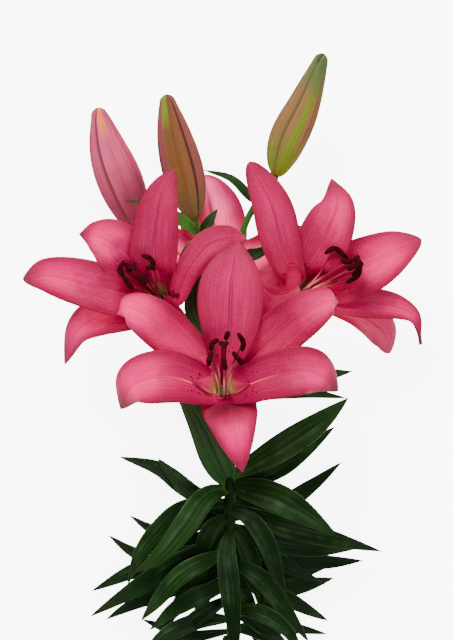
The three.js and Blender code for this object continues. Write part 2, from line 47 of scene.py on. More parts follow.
VIEW_CENTRE = (0.0026, 0.1005)
CAMERA_HEIGHT = 8.08
LENS, SENSOR_WIDTH = 600, 36
ROOM_LIGHT = 0.5
LIT_POINT = Vector((0, 0.06, 0.05))
TABLE_SIZE = 24.0
TABLE_GLOW = 6.5
TABLE_WHITES = (0.9, 0.9, 0.9), (0.86, 0.86, 0.86)
WHITE = (1, 1, 1, 1)

camera = bpy.data.objects.new("camera", bpy.data.cameras.new("camera"))
bpy.context.scene.collection.objects.link(camera)
camera.location = (*VIEW_CENTRE, CAMERA_HEIGHT)
camera.data.lens = LENS
camera.data.sensor_width = SENSOR_WIDTH
bpy.context.scene.camera = camera

room = bpy.data.worlds.new("white_room")
bpy.context.scene.world = room
room.use_nodes = True
room.node_tree.nodes["Background"].inputs["Color"].default_value = WHITE
room.node_tree.nodes["Background"].inputs["Strength"].default_value = ROOM_LIGHT

for name, place, width, power in (
    ("soft_box", (-0.55, 1.75, 1.75), 1.2, 160),
    ("fill_box", (0.7, -0.6, 2.3), 1.2, 60),
):
    lamp = bpy.data.objects.new(name, bpy.data.lights.new(name, "AREA"))
    bpy.context.scene.collection.objects.link(lamp)
    lamp.data.size = width
    lamp.data.energy = power
    lamp.location = place
    lamp.rotation_euler = (LIT_POINT - lamp.location).to_track_quat("-Z", "Y").to_euler()


class Wire:
    """A value on its way through a material's nodes. Arithmetic on it adds Math nodes."""

    def __init__(self, tree, socket=None):
        self.tree, self.socket = tree, socket

    def node(self, kind, settings=None, inputs=None, output=0):
        """Adds a shader node: its settings first, then the values or wires of its sockets."""
        made = self.tree.nodes.new("ShaderNode" + kind)
        for name, value in (settings or {}).items():
            setattr(made, name, value)
        for name, value in (inputs or {}).items():
            if isinstance(value, Wire):
                self.tree.links.new(value.socket, made.inputs[name])
            else:
                made.inputs[name].default_value = value
        return Wire(self.tree, made.outputs[output])

    def _math(self, operation, first, second=0.0):
        return self.node("Math", {"operation": operation}, {0: first, 1: second})

    def __add__(self, other):
        return self._math("ADD", self, other)

    def __sub__(self, other):
        return self._math("SUBTRACT", self, other)

    def __mul__(self, other):
        return self._math("MULTIPLY", self, other)

    def __pow__(self, other):
        return self._math("POWER", self, other)

    def __rsub__(self, other):
        return self._math("SUBTRACT", other, self)

    def __abs__(self):
        return self._math("ABSOLUTE", self)

    __radd__, __rmul__ = __add__, __mul__


def mix(factor, low, high):
    """A colour between two, by a factor of 0 to 1. Each is a wire, or its red, green and blue."""
    low, high = (colour if isinstance(colour, Wire) else (*colour, 1) for colour in (low, high))
    return factor.node("Mix", {"data_type": "RGBA"}, {0: factor, 6: low, 7: high}, 2)


def grain(wire, size, detail=2.0, stretch=(1, 1, 1)):
    """Noise of about 0 to 1 with features of a size in metres, fixed to the piece."""
    place = wire.node("TexCoord", output="Object")
    scaled = wire.node("Mapping", inputs={"Vector": place, "Scale": stretch})
    return wire.node("TexNoise",
                     inputs={"Vector": scaled, "Scale": 1 / size, "Detail": detail})


def finish_of(name, roughness, gloss=0.5, **constants):
    """A new material, the wire that its nodes start from, and its shader. Gloss is its specular
    level."""
    material = bpy.data.materials.new(name)
    material.use_nodes = True
    shader = material.node_tree.nodes["Principled BSDF"]
    constants.update(Roughness=roughness, Specular_IOR_Level=gloss)
    for socket, value in constants.items():
        shader.inputs[socket.replace("_", " ")].default_value = value
    return material, Wire(material.node_tree), shader


def join(wire, shader, socket):
    """Leads a wire into one of the shader's sockets."""
    wire.tree.links.new(wire.socket, shader.inputs[socket])


table_finish, wire, shader = finish_of("white_table", 0.9, Emission_Color=WHITE,
                                       Emission_Strength=TABLE_GLOW)
join(mix(grain(wire, 0.02) * 0.3, *TABLE_WHITES), shader, "Base Color")
made = bmesh.new()
bmesh.ops.create_grid(made, x_segments=2, y_segments=2, size=TABLE_SIZE / 2)
table = bpy.data.objects.new("table", bpy.data.meshes.new("table"))
made.to_mesh(table.data)
made.free()
table.data.materials.append(table_finish)
bpy.context.scene.collection.objects.link(table)

# --------------------------------------
# The stem and its stalks. One round green stem, as thick as a pencil, with a stalk for each bloom
# and bud that ends in a swollen flat-topped seat. It grew in one piece. Lower down its leaves were
# stripped, which left scars, and it was cut across.

MM = 0.001
STEM_PATH = [(7, -299, 5), (7, -150, 26), (5, -30, 43), (3, 60, 57), (2, 94, 61)]
STEM_RADIUS = 4.4
STALK_RADIUS = 2.3
SEAT_GAP = 0.3
# The seat that swells at a stalk's end: the share of its height, and the radius there.
SEAT = [(0, 0), (0.02, STALK_RADIUS), (0.2, 3.0), (0.4, 3.9), (0.6, 4.8), (0.8, 5.3), (0.92, 5.4),
        (1, 5.1), (1, 0)]
# The leaf scars, from the cut end up: the share of the stem's length at the first one and from one
# to the next, how far they stray, the turn between them, and the height, length and width of each.
SCAR = {"count": 13, "first": 0.012, "step": 0.0115, "stray": 0.002, "turn": 2.4, "height": 0.55,
        "length": 0.0028, "width": 0.45}
STEM_COLOURS = {
    "dark": (0.00332, 0.013, 0.00242), "light": (0.00972, 0.0336, 0.00549),
    "upper": (0.0219, 0.0738, 0.00855), "leaf_shadow": (0.00142, 0.0052, 0.001),
    "fleck": (0.0266, 0.0093, 0.00759), "pith": (0.191, 0.294, 0.0335),
    "rind": (0.0583, 0.0978, 0.0235),
}
# Where along the stem, in metres, it is painted darker as the shadow of the leaves that crowd round
# it, and where its cut end is.
LEAF_SHADOW_FROM, LEAF_SHADOW_TO = (-0.13, -0.11), (0.01, 0.03)
CUT_END = (-0.2996, -0.2985)
BUD_STALKS = {
    "left": [(1, 84, 59), (-20, 122, 58), (-44, 149, 55)],
    "centre": [(2, 90, 61), (-2, 118, 68), (-9, 145, 70)],
    "right": [(2, 90, 61), (8, 130, 66), (16, 170, 64), (29, 194, 60)],
}
BUD_PATHS = {
    "left": [(-61, 166, 52), (-74.3, 200, 50), (-85.8, 229.5, 49), (-94, 259.5, 50)],
    "centre": [(-21.2, 175.5, 67), (-29, 205, 66), (-37, 237, 65), (-43, 269, 65)],
    "right": [(39.6, 209, 57), (49, 235, 55), (61.5, 262, 54), (75.5, 300, 55)],
}
# Each bloom: the foot at the top of its seat, the axis that it faces along, and its stalk.
BLOOM_STANDS = {
    "front": ((0, 44, 86), (0, 0.5, 0.866), [(4, 8, 49), (4, 22, 62), (1, 37, 76)]),
    "left": ((-46, 115, 62), (-0.33, 0.35, 0.876), [(3, 48, 55), (-16, 78, 57), (-36, 103, 52)]),
    "right": ((55, 118, 54), (0.66, 0.36, 0.66), [(3, 62, 57), (22, 88, 58), (43, 110, 45)]),
    "back": ((-2, 116, 45), (0, 0.85, -0.53), [(2, 86, 60), (0, 100, 54)]),
}


def across(vector, way):
    """The part of a vector that lies across a way, at a length of 1."""
    return (vector - way * vector.dot(way)).normalized()


class Path:
    """A smooth curve through points, with a frame that is carried along it without twisting."""

    def __init__(self, points, face=(0.3, 0.2, 1), root_face=None):
        self.points = [Vector(point) for point in points]
        self.face = Vector(face)
        self.root_face = root_face
        self.frames = {}

    def at(self, u):
        """The point at a share u of the path."""
        points = self.points
        spot = max(0.0, min(1.0, u)) * (len(points) - 1)
        index = min(int(spot), len(points) - 2)
        t = spot - index
        start, end = points[index], points[index + 1]
        before = points[index - 1] if index > 0 else start * 2 - end
        after = points[index + 2] if index + 2 < len(points) else end * 2 - start
        leave, arrive = (end - before) * 0.5, (after - start) * 0.5
        return (start + leave * t + (end * 3 - start * 3 - leave * 2 - arrive) * t ** 2
                + (start * 2 - end * 2 + leave + arrive) * t ** 3)

    def way(self, u):
        """The direction of the path at u."""
        return (self.at(min(u + 1e-4, 1)) - self.at(max(u - 1e-4, 0))).normalized()

    def frame(self, u):
        """The point at u, the side and the normal there."""
        if u not in self.frames:
            normal = self.face.copy()
            for step in range(13):
                way = self.way(0.5 + (u - 0.5) * step / 12)
                normal = across(normal, way)
            if self.root_face is not None:
                share = smooth(u, 0, 0.45)
                normal = across(self.root_face * (1 - share) + normal * share, way)
            self.frames[u] = (self.at(u), way.cross(normal), normal)
        return self.frames[u]

    def place(self, u, x, z):
        """A spot beside the path, x to its side and z along its normal, in metres."""
        point, side, normal = self.frame(u)
        return (point + side * x + normal * z) * MM


def smooth(value, low, high):
    """0 below low, 1 above high, and smooth between them, for a number."""
    t = max(0.0, min(1.0, (value - low) / (high - low)))
    return t * t * (3 - 2 * t)


def layer(layers, name):
    """A layer of a mesh's data, which is made when it is first asked for."""
    return layers.get(name) or layers.new(name)


def unrolled(spots, uv):
    """Smooths the faces of new vertices and gives them their UVs, from each vertex's spot."""
    faces = {face for vert in spots for face in vert.link_faces}
    for face in faces:
        face.smooth = True
        for loop in face.loops:
            loop[uv].uv = spots[loop.vert]
    return faces


def turn(mesh, path, rows, radius, columns, tint=0.0, slide=None):
    """Adds a round body on a path. Rows are shares of the path, radius(row, u, angle) may vary, and
    slide(row, u, angle) moves a spot along the path, in millimetres."""
    uv, shade = layer(mesh.loops.layers.uv, "skin"), layer(mesh.verts.layers.float, "shade")
    last = len(rows) - 1
    grid = bmesh.ops.create_grid(mesh, x_segments=columns, y_segments=last, size=1)["verts"]
    spots = {}
    for vert in grid:
        row = round((vert.co.y + 1) / 2 * last)
        share = (vert.co.x + 1) / 2
        u, angle = rows[row], math.tau * share
        reach = radius(row, u, angle)
        spots[vert] = (share, u)
        vert.co = path.place(u, reach * math.cos(angle), reach * math.sin(angle))
        if slide:
            vert.co += path.way(u) * slide(row, u, angle) * MM
        vert[shade] = tint
    faces = unrolled(spots, uv)
    bmesh.ops.remove_doubles(mesh, verts=grid, dist=1e-6)
    bmesh.ops.recalc_face_normals(mesh, faces=[face for face in faces if face.is_valid])


def steps(count):
    """The shares from 0 to 1 in this many steps."""
    return [index / count for index in range(count + 1)]


def piece(name, mesh, finishes, slot, *nodes):
    """Makes the mesh an object that stands for CAD nodes and rides on the lily."""
    made = bpy.data.objects.new(name, bpy.data.meshes.new(name))
    mesh.to_mesh(made.data)
    mesh.free()
    for material in finishes:
        made.data.materials.append(material)
    bpy.context.scene.collection.objects.link(made)
    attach(made, "root")
    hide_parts(*nodes)
    return made


def capped(rows):
    """Row shares with both ends doubled, so that a round body can close there."""
    return [rows[0], *rows, rows[-1]]


def rod(mesh, points, root, end, columns, count, tint=0.0):
    """Adds a closed round body through points, from the radius root to the radius end."""
    rows = capped(steps(count))
    last = len(rows) - 1
    turn(mesh, Path(points), rows,
         lambda row, u, angle: 0 if row in (0, last) else root + (end - root) * u, columns, tint)


stem_path = Path(STEM_PATH)
scar_draw = random.Random(11)
SCARS = [(SCAR["first"] + SCAR["step"] * index + scar_draw.uniform(-SCAR["stray"], SCAR["stray"]),
          SCAR["turn"] * index) for index in range(SCAR["count"])]


def stem_radius(row, u, angle):
    """Thicker towards the foot and barely five-sided, with a bump at each leaf scar."""
    if row in (0, len(stem_rows) - 1):
        return 0
    bump = 0
    for height, heading in SCARS:
        if abs(u - height) < 0.012:
            off = (angle - heading + math.pi) % math.tau - math.pi
            bump += SCAR["height"] * math.exp(-((u - height) / SCAR["length"]) ** 2
                                              - (off / SCAR["width"]) ** 2)
    return STEM_RADIUS * (1.1 - 0.25 * u) * (1 + 0.015 * math.cos(5 * angle)) + bump


def stands():
    """Each bloom with its foot and the axis that it faces along."""
    for bloom, (foot, axis, _) in BLOOM_STANDS.items():
        yield bloom, Vector(foot), Vector(axis).normalized()


stem_rows = capped(steps(320))
stem = bmesh.new()
turn(stem, stem_path, stem_rows, stem_radius, 24)
for bloom, foot, axis in stands():
    stalk = [*BLOOM_STANDS[bloom][2], foot - axis * 7, foot - axis]
    rod(stem, stalk, STALK_RADIUS, STALK_RADIUS, 14, 40)
    turn(stem, Path([foot - axis * 6, foot]), [share for share, radius in SEAT],
         lambda row, u, angle: SEAT[row][1] * (1 + 0.05 * math.cos(3 * angle)), 24)
for name, points in BUD_STALKS.items():
    path = Path(BUD_PATHS[name])
    base, way = path.at(0), path.way(0)
    rod(stem, [*points, base - way * 9, base - way * SEAT_GAP], STALK_RADIUS, STALK_RADIUS * 1.15,
        14, 40)


def fade(value, low, high):
    """0 below low, 1 above high, and smooth between them."""
    return value.node("MapRange", {"interpolation_type": "SMOOTHSTEP"},
                      {"Value": value, "From Min": low, "From Max": high})


def wane(value, low, high):
    """1 below low, 0 above high, and smooth between them."""
    return 1 - fade(value, low, high)


class Paint:
    """A skin's colour, painted over layer by layer with the named colours of one palette."""

    def __init__(self, palette, amount, low, high):
        self.palette = palette
        self.skin = self.blend(amount, low, high)

    def blend(self, amount, low, high):
        """A colour between two, by an amount of 0 to 1."""
        return mix(amount, self.palette.get(low, low), self.palette.get(high, high))

    def __call__(self, amount, colour):
        """Adds a layer of a colour, by an amount of 0 to 1."""
        self.skin = self.blend(amount, self.skin, colour)

    def onto(self, shader, height, strength, depth):
        """Puts the skin on a shader, with a fine relief whose depth is in metres."""
        join(self.skin, shader, "Base Color")
        join(height.node("Bump", inputs={"Height": height, "Strength": strength,
                                         "Distance": depth}), shader, "Normal")


def headwards(wire):
    """How far a spot of the piece lies towards the head, in metres."""
    place = wire.node("TexCoord", output="Object")
    return wire.node("SeparateXYZ", inputs={0: place}, output="Y")


stem_finish, wire, shader = finish_of("stem_skin", 0.5, 0.02)
height = headwards(wire)
fibre = grain(wire, 0.0012, 3, (1, 0.06, 1))
patch = grain(wire, 0.018)
paint = Paint(STEM_COLOURS, fade(patch + fibre * 0.5, 0.45, 1.05), "dark", "light")
paint(fade(height, 0.06, 0.2) * 0.7, "upper")
# Painted shadow: the stem is darkened where the leaves crowd round it and shade it.
leaf_shadow = fade(height, *LEAF_SHADOW_FROM) * wane(height, *LEAF_SHADOW_TO)
paint(leaf_shadow * 0.8, "leaf_shadow")
paint(wane(grain(wire, 0.0022, 1, (1, 0.4, 1)), 0.3, 0.36) * 0.5, "fleck")
paint(wane(height, *CUT_END), paint.blend(grain(wire, 0.0008), "pith", "rind"))
paint.onto(shader, fibre, 0.35, 0.0004)
piece("stem_and_stalks", stem, [stem_finish], "leaf", "leafy_stem")

# --------------------------------------
# The leaves. Long narrow blades with parallel veins, a sunk midrib and thin pale edges, dark green
# and glossy above and paler below. Each grows straight out of the stem and bends over.

# Each leaf: the height y at which it leaves the stem, its width, how light it is, and its midrib.
# How light is its own tone and painted shade: the leaves that lie lower in the pile are darker.
LEAVES = [
    (34, 15, 0.75, [(40, 51, 62), (70, 58, 60), (97.4, 61.8, 46)]),
    (30, 11, 0.5, [(28, 44.5, 58), (60, 46, 52), (93.5, 41.7, 36)]),
    (-18, 21, 0.75, [(34, -1, 60), (57, 13, 60), (77, 27, 50), (94.5, 41.7, 36)]),
    (-24, 17, 0.5, [(35.1, -13.5, 46), (58.3, 0.5, 42), (84.5, 20, 28)]),
    (-24, 23, 0.45, [(34, -31, 62), (58, -43, 64), (86.3, -62.6, 48)]),
    (-24, 25, 1.1, [(-4, -5, 59), (-16.5, 22, 68), (-43, 68.5, 62)]),
    (-26, 18.5, 0.75, [(-13, -33, 60), (-28, -53, 66), (-47, -76, 58), (-66.3, -89.9, 44)]),
    (-36, 15, 0.5, [(-28, -41, 50), (-48, -57, 50), (-63.3, -76.9, 40), (-72, -99.3, 26)]),
    (-40, 13, 0.5, [(-21.5, -30.5, 44), (-35.5, -18.5, 38), (-49.3, -3.7, 28)]),
    (-48, 14, 0.2, [(-26.2, -27.7, 34), (-48.4, -11.8, 24), (-78.7, -2.9, 8)]),
    (-40, 16, 0.3, [(45.2, -54.7, 46), (80.4, -63.9, 38), (119.9, -74.4, 16)]),
    (-50, 13, 0.3, [(45.2, -37.8, 36), (66.4, -24.8, 28), (89.7, -6.9, 16)]),
    (-42, 14.5, 0.3, [(22, -51, 60), (34, -70, 64), (41, -92, 52), (48.2, -114.1, 38)]),
    (-46, 13, 0.5, [(-10.1, -57.6, 48), (-15.1, -74.8, 42), (-14.1, -93.2, 32)]),
    (-54, 15, 0.3, [(42.2, -68, 34), (70.5, -72.2, 26), (100.9, -72.5, 10)]),
    (-56, 16, 0.1, [(3, -77, 62), (5, -100, 68), (8, -130, 58), (11, -163.4, 38)]),
    (-64, 9, 0.2, [(-35.3, -63.1, 26), (-54.5, -57.3, 16), (-70.7, -47.4, 6)]),
    (-62, 16, 0.3, [(-34.2, -82.8, 44), (-66.4, -102.2, 32), (-100.9, -124.1, 6)]),
    (-68, 14, 0.2, [(-40.2, -79, 36), (-70.5, -90.3, 24), (-100, -104.9, 5)]),
    (-74, 13, 0.2, [(45.3, -81.3, 22), (78.7, -82.6, 10), (106, -81.8, 0.4)]),
    (-74, 14.5, 0.5, [(-16, -82, 56), (-34, -93, 58), (-50.2, -111.9, 46), (-61.9, -126.3, 34)]),
    (-78, 11, 0.2, [(-40.3, -81.3, 24), (-66.6, -75.5, 12), (-86.9, -62.6, 0.4)]),
    (-80, 14.5, 0.3, [(28, -94, 50), (45.2, -115, 44), (65.4, -143.6, 26)]),
    (-85, 12, 0.3, [(40.2, -105.1, 36), (60.4, -116.4, 28), (79.6, -126.9, 14)]),
    (-88, 12, 0.2, [(-40.3, -103.3, 30), (-66.5, -113.6, 18), (-88.9, -126.2, 3)]),
    (-92, 10, 0.2, [(45.3, -92.4, 20), (60.5, -90.6, 12), (76.7, -87.8, 4)]),
    (-98, 14, 0.2, [(40.3, -102.4, 24), (62.5, -99.6, 14), (83.8, -94.9, 3)]),
    (-98, 14, 0.5, [(-16.1, -105.9, 46), (-37.2, -118, 42), (-55.4, -133.5, 28)]),
    (-106, 12, 0.3, [(22.1, -124.3, 34), (38.2, -137.5, 28), (54.4, -154.1, 12)]),
    (-108, 12, 0.3, [(-14.1, -120.2, 36), (-30.2, -132.4, 30), (-46.4, -148, 16)]),
    (-120, 10, 0.2, [(30.2, -130.7, 20), (55.5, -133, 10), (78.8, -137.3, 0.4)]),
    (-134, 10, 0.2, [(-25.2, -138.8, 18), (-42.4, -133.1, 9), (-61.6, -126.2, 0.4)]),
    (-60, 14, 0.3, [(20, -76, 30), (32, -92, 24), (40, -112, 14)]),
    (-76, 14, 0.2, [(-10, -95, 26), (-16, -112, 20), (-20, -132, 10)]),
    (-38, 14, 0.2, [(-22, -53, 30), (-40, -64, 22), (-56.5, -76, 12)]),
    (-30, 14, 0.3, [(24, -43, 32), (45, -51, 24), (68.5, -59, 14)]),
    (-50, 14, 0.3, [(-10.1, -72.8, 42), (-22.1, -96.1, 34), (-34.3, -123.6, 22)]),
    (-52, 14, 0.3, [(18.1, -72.8, 42), (25.1, -96.1, 36), (30.2, -123.6, 24)]),
    (-66, 14, 0.3, [(-18, -92, 34), (-32, -112, 26), (-46, -136, 14)]),
    (-70, 14, 0.3, [(22.1, -93.1, 34), (36.2, -113.4, 26), (52.4, -131.9, 14)]),
    (-84, 13, 0.2, [(16.1, -107.3, 30), (21.1, -125.6, 24), (26.2, -148.1, 12)]),
    (-58, 13, 0.3, [(-24.2, -67, 32), (-46.3, -79.2, 24), (-72.6, -93.6, 14)]),
    (-60, 13, 0.2, [(30.2, -75.1, 30), (52.4, -87.4, 22), (76.6, -99.7, 12)]),
]
# The small leaves at the foot of the stalks: width, how light, how brown at the tip, and the midrib
# from the stalk on. How light is their own tone and painted light on those that lie in shade.
BRACTS = [
    (19, 1.0, 0.05, [(1, 84, 59), (-14, 97, 69), (-21.5, 115, 72), (-17, 139, 70)]),
    (9, 1.7, 0.9, [(-16, 163, 68), (-30, 174.5, 79), (-52, 186.5, 80), (-74, 190, 77)]),
    (8, 0.9, 0.05, [(-17, 165, 68), (-13, 171, 72), (-9, 177, 73), (-4, 184, 72)]),
    (8, 1.6, 0.05, [(-15, 160, 69), (-22, 157, 72), (-28, 151, 72), (-34, 143, 70)]),
    (10, 0.4, 0.05, [(6, 126, 66), (16, 146, 73), (27, 151, 74), (41, 157, 70)]),
    (7, 0.8, 0.05, [(25.5, 188, 61), (19, 194.5, 63), (6, 207, 62), (-15, 213.5, 57)]),
]
UP = (0, 0, 1)
TABLE_GAP = 0.2
LEAF_THICK = 0.5
LEAF_CURL = (35, 22, 8)
# The lower leaves stand in a spiral, no midrib lower than lowest. Their droop is how far each share
# of the length hangs back.
LOWER_LEAVES = {"count": 9, "top": -118, "step": 7, "turn": 137.5, "start": 40, "length": 88,
                "width": 13, "lowest": 0.4, "curl": (35, 20, 8),
                "droop": ((0.3, 0.02), (0.6, 0.16), (0.82, 0.42))}
LEAF_COLOURS = {
    "deep": (0.00128, 0.00619, 0.001), "fresh": (0.0038, 0.0191, 0.00128),
    "greyish": (0.0429, 0.121, 0.0439), "bract": (0.0309, 0.132, 0.0117),
    "thread": (0.0126, 0.0416, 0.00617), "sheen": (0.039, 0.0766, 0.0311),
    "vein": (0.0706, 0.126, 0.051), "groove": (0.00173, 0.00565, 0.00138),
    "margin": (0.0377, 0.0727, 0.0186), "root": (0.0712, 0.134, 0.0201),
    "tip": (0.0388, 0.0202, 0.0118), "under dark": (0.00938, 0.0226, 0.00747),
    "under light": (0.0291, 0.0634, 0.0168), "under rib": (0.0593, 0.109, 0.0318),
    "under vein": (0.0408, 0.077, 0.0285),
}


def outline_of(widest, sharpness, root):
    """The share of a blade's width at u, from its root to its tip. Widest is where it is broadest,
    and root is how broad it is where it starts."""
    power = math.log(0.5) / math.log(widest)

    def outline(u):
        return math.hypot(max(math.sin(math.pi * u ** power), 0) ** sharpness, root * (1 - u))
    return outline


def between(three, u):
    """The value at u between three that stand at the root, the middle and the tip."""
    first, middle, last = three
    return first + (middle - first) * u * 2 if u < 0.5 else middle + (last - middle) * (u * 2 - 1)


def blade(mesh, path, width, outline, curl, rows, columns, tint, tip, relief, wave=0.0, phase=0.0,
          dusk=0.0, ease=1.25, thick=LEAF_THICK, end=0.15, heart=None):
    """Adds one thin blade along a path: an arc across, whose edges turn up by the curl in degrees
    at root, middle and tip, and wave. Tint is how light it is: its own tone, and painted light
    and shade. Tip is how dark its tip is, and dusk how far from its root it is painted in deep
    shade. Ease crowds the rows towards the tip, end is the half width that is left there, and
    heart is the middle of the bloom, which colours fade out from."""
    uv = layer(mesh.loops.layers.uv, "skin")
    layers = {name: layer(mesh.verts.layers.float, name)
              for name in ("shade", "tip", "dusk", "reach")}
    grid = bmesh.ops.create_grid(mesh, x_segments=columns, y_segments=rows, size=1)["verts"]
    spots = {}
    for vert in grid:
        v = vert.co.x
        u = round(1 - (1 - (vert.co.y + 1) / 2) ** ease, 6)
        half = max(width / 2 * outline(u), end)
        bend = math.radians(between(curl, u)) or 1e-3
        lift = wave * v * v * math.sin(math.tau * 2.4 * u + phase + (1.7 if v > 0 else 0))
        x = half * math.sin(bend * v) / bend
        z = half * (1 - math.cos(bend * v)) / bend + lift * math.sin(math.pi * u)
        z += relief(u, v, half)
        vert.co = path.place(u, x, z)
        vert.co.z = max(vert.co.z, (TABLE_GAP + thick / 2) * MM)
        spots[vert] = ((v + 1) / 2, u)
        vert[layers["shade"]] = tint
        vert[layers["tip"]] = tip
        vert[layers["dusk"]] = dusk
        vert[layers["reach"]] = (vert.co / MM - heart).length if heart else 99
    unrolled(spots, uv)


def leaf_relief(u, v, half):
    """A sunk midrib and shallow ribs beside it, which fade towards the tip."""
    rib = -0.055 * half * math.exp(-(v / 0.1) ** 2)
    return (rib + 0.018 * half * math.cos(v * 9.5)) * (1 - smooth(u, 0.75, 1)) * smooth(u, 0, 0.1)


def stem_point(y):
    """The point in the middle of the stem at a height y."""
    low, high = 0.0, 1.0
    for step in range(30):
        middle = (low + high) / 2
        low, high = (middle, high) if stem_path.at(middle).y < y else (low, middle)
    return stem_path.at(low)


LEAF = outline_of(0.42, 0.85, 0.3)
leaves = bmesh.new()
for y, width, tint, points in LEAVES:
    blade(leaves, Path([stem_point(y), *points], UP), width, LEAF, LEAF_CURL, wave=width * 0.04,
          phase=width, rows=30, columns=12, tint=tint, tip=0.05, relief=leaf_relief)
for width, tint, tip, points in BRACTS:
    blade(leaves, Path(points, UP), width, LEAF, LEAF_CURL, wave=width * 0.04, phase=width,
          rows=24, columns=10, tint=tint, tip=tip, relief=leaf_relief)
for index in range(LOWER_LEAVES["count"]):
    root = stem_point(LOWER_LEAVES["top"] - LOWER_LEAVES["step"] * index)
    angle = math.radians(LOWER_LEAVES["start"] + LOWER_LEAVES["turn"] * index)
    length = LOWER_LEAVES["length"]
    points = [root]
    for share, drop in LOWER_LEAVES["droop"]:
        rise = length * (math.sin(angle) * share * 0.55 + share * 0.2 - share * share * 0.25)
        spot = root + Vector((math.cos(angle) * length * share, -length * drop, rise))
        spot.z = max(spot.z, LOWER_LEAVES["lowest"])
        points.append(spot)
    blade(leaves, Path(points, UP), LOWER_LEAVES["width"], LEAF, LOWER_LEAVES["curl"],
          rows=26, columns=10, tint=0.3, tip=0.05, relief=leaf_relief)


def skin_share(wire, axis):
    """How far along a skin a spot lies, from 0 to 1: X is across or round it, Y from its root."""
    spot = wire.node("UVMap", {"uv_map": "skin"})
    return wire.node("SeparateXYZ", inputs={0: spot}, output=axis)


def carried(wire, name):
    """A number that the mesh carries from spot to spot, such as how light its blade is."""
    return wire.node("Attribute", {"attribute_name": name}, output="Fac")


def veined(wire):
    """What a blade's finish starts from: u along it, v across it from -1 to 1, and its shade."""
    return skin_share(wire, "Y"), skin_share(wire, "X") * 2 - 1, carried(wire, "shade")


def streaks(wire, count, length, detail=3.0):
    """Uneven lengthwise streaks, this many across a blade and this many along it."""
    spot = wire.node("UVMap", {"uv_map": "skin"})
    stretched = wire.node("Mapping", inputs={"Vector": spot, "Scale": (count, length, 1)})
    return wire.node("TexNoise",
                     inputs={"Vector": stretched, "Scale": 1.0, "Detail": detail})


def lines(v, count, drift=0.0):
    """Lengthwise veins: 0 to 1, with this many across the blade."""
    turns = (v + drift) * (math.pi * count)
    return v.node("Math", {"operation": "SINE"}, {0: turns}) * 0.5 + 0.5


leaf_finish, wire, shader = finish_of("leaf_skin", 0.4, 0.04)
u, v, shade = veined(wire)
side = abs(v)
streak = streaks(wire, 9, 0.7, 2)
thread = streaks(wire, 42, 1.5, 2)
patch = grain(wire, 0.02, 3)
# A blade's lightness carries painted shade on lower leaves and painted light on shaded bracts.
paint = Paint(LEAF_COLOURS, fade(shade + (patch - 0.5) * 0.9 + (streak - 0.5) * 1.2, 0, 1),
              "deep", "fresh")
paint(fade(shade, 0.7, 2.1), paint.blend(fade(shade, 1.15, 1.5), "greyish", "bract"))
paint(fade(thread, 0.5, 0.7) * 0.25, "thread")
sheen = wane(abs(v - 0.35), 0.04, 0.3) * fade(patch + shade * 0.3, 0.5, 0.9)
paint(sheen * wane(u, 0.6, 0.9) * 0.4, "sheen")
vein = lines(v, 13, (streak - 0.5) * 0.1) ** 8 * fade(streak, 0.42, 0.6)
vein = vein * fade(patch + shade * 0.3, 0.5, 0.85) * 0.5 * wane(u, 0.7, 0.95)
paint(vein, "vein")
groove = wane(abs(side - 0.42 - (streak - 0.5) * 0.1), 0.0, 0.035)
paint(groove * 0.5 * wane(u, 0.6, 0.95), "groove")
midrib = wane(side, 0.0, 0.05) * 0.7 * wane(u, 0.6, 1)
paint(midrib, "groove")
paint(fade(side, 0.93, 0.99) * 0.3, "margin")
paint(wane(u, 0.0, 0.1) * 0.4 * fade(shade, 0.6, 0.75), "root")
paint(fade(u, 0.72, 0.84) * carried(wire, "tip"), "tip")
join(0.3 + thread * 0.16 + streak * 0.16, shader, "Roughness")
paint.onto(shader, thread * 0.5 - groove * 0.6 + streak * 0.5, 0.5, 0.0005)

leaf_back, wire, shader = finish_of("leaf_underside", 0.6, 0.06)
u, v, shade = veined(wire)
vein = lines(v, 9) ** 2
paint = Paint(LEAF_COLOURS, fade(shade, 0, 1), "under dark", "under light")
paint(wane(abs(v), 0.0, 0.09) * 0.5, "under rib")
paint(vein * 0.3, "under vein")
paint.onto(shader, vein, 0.4, 0.0004)


def thickened(made, thick, back):
    """Gives a sheet of blades its thickness, with another finish on the back."""
    wall = made.modifiers.new("thickness", "SOLIDIFY")
    wall.thickness = thick * MM
    wall.offset = 0
    wall.material_offset = back
    wall.use_quality_normals = True


thickened(piece("leaves", leaves, [leaf_finish, leaf_back], "leaf", "leafy_stem"), LEAF_THICK, 1)

# --------------------------------------
# The tepals. Each bloom has six, three narrow outer ones behind three broad inner ones. They stand
# in a ring on the seat, form a funnel, and open and roll back. Rose pink, with a painted highlight
# where they roll over, crimson in the throat with maroon spots, and each has a cream furrow at
# its root.

TEPAL_THICK = 0.7
# The ring that the tepals stand in on the seat, and the height of the heart that they open from.
ROOT_HEIGHT, ROOT_RING, HEART_HEIGHT = 2, 4.9, 8
# The kinds of tepal: the outline's widest place, sharpness and root, the height at which the tepal
# leaves the funnel and how far from the axis, and its curl.
INNER = {"outline": (0.57, 0.56, 0.2), "rise": 22, "flare": 12.5, "curl": (42, 18, -12)}
TALL = {**INNER, "outline": (0.66, 0.52, 0.2), "rise": 12, "flare": 9}
LANCE = {**INNER, "outline": (0.49, 0.62, 0.32)}
LIPPED = {**INNER, "outline": (0.54, 0.8, 0.3), "rise": 8, "flare": 8, "curl": (36, 18, -12)}
WAISTED = {**INNER, "outline": (0.66, 0.8, 0.2)}
SPOON = {**INNER, "outline": (0.73, 0.6, 0.2)}
OUTER = {"outline": (0.5, 0.84, 0.2), "rise": 19, "flare": 14, "curl": (38, 16, -16)}
ROLLED = {**OUTER, "outline": (0.43, 0.88, 0.2)}
HANGING = {"outline": (0.4, 0.75, 0.15), "rise": 6, "flare": 8.5, "curl": (18, 8, -16)}
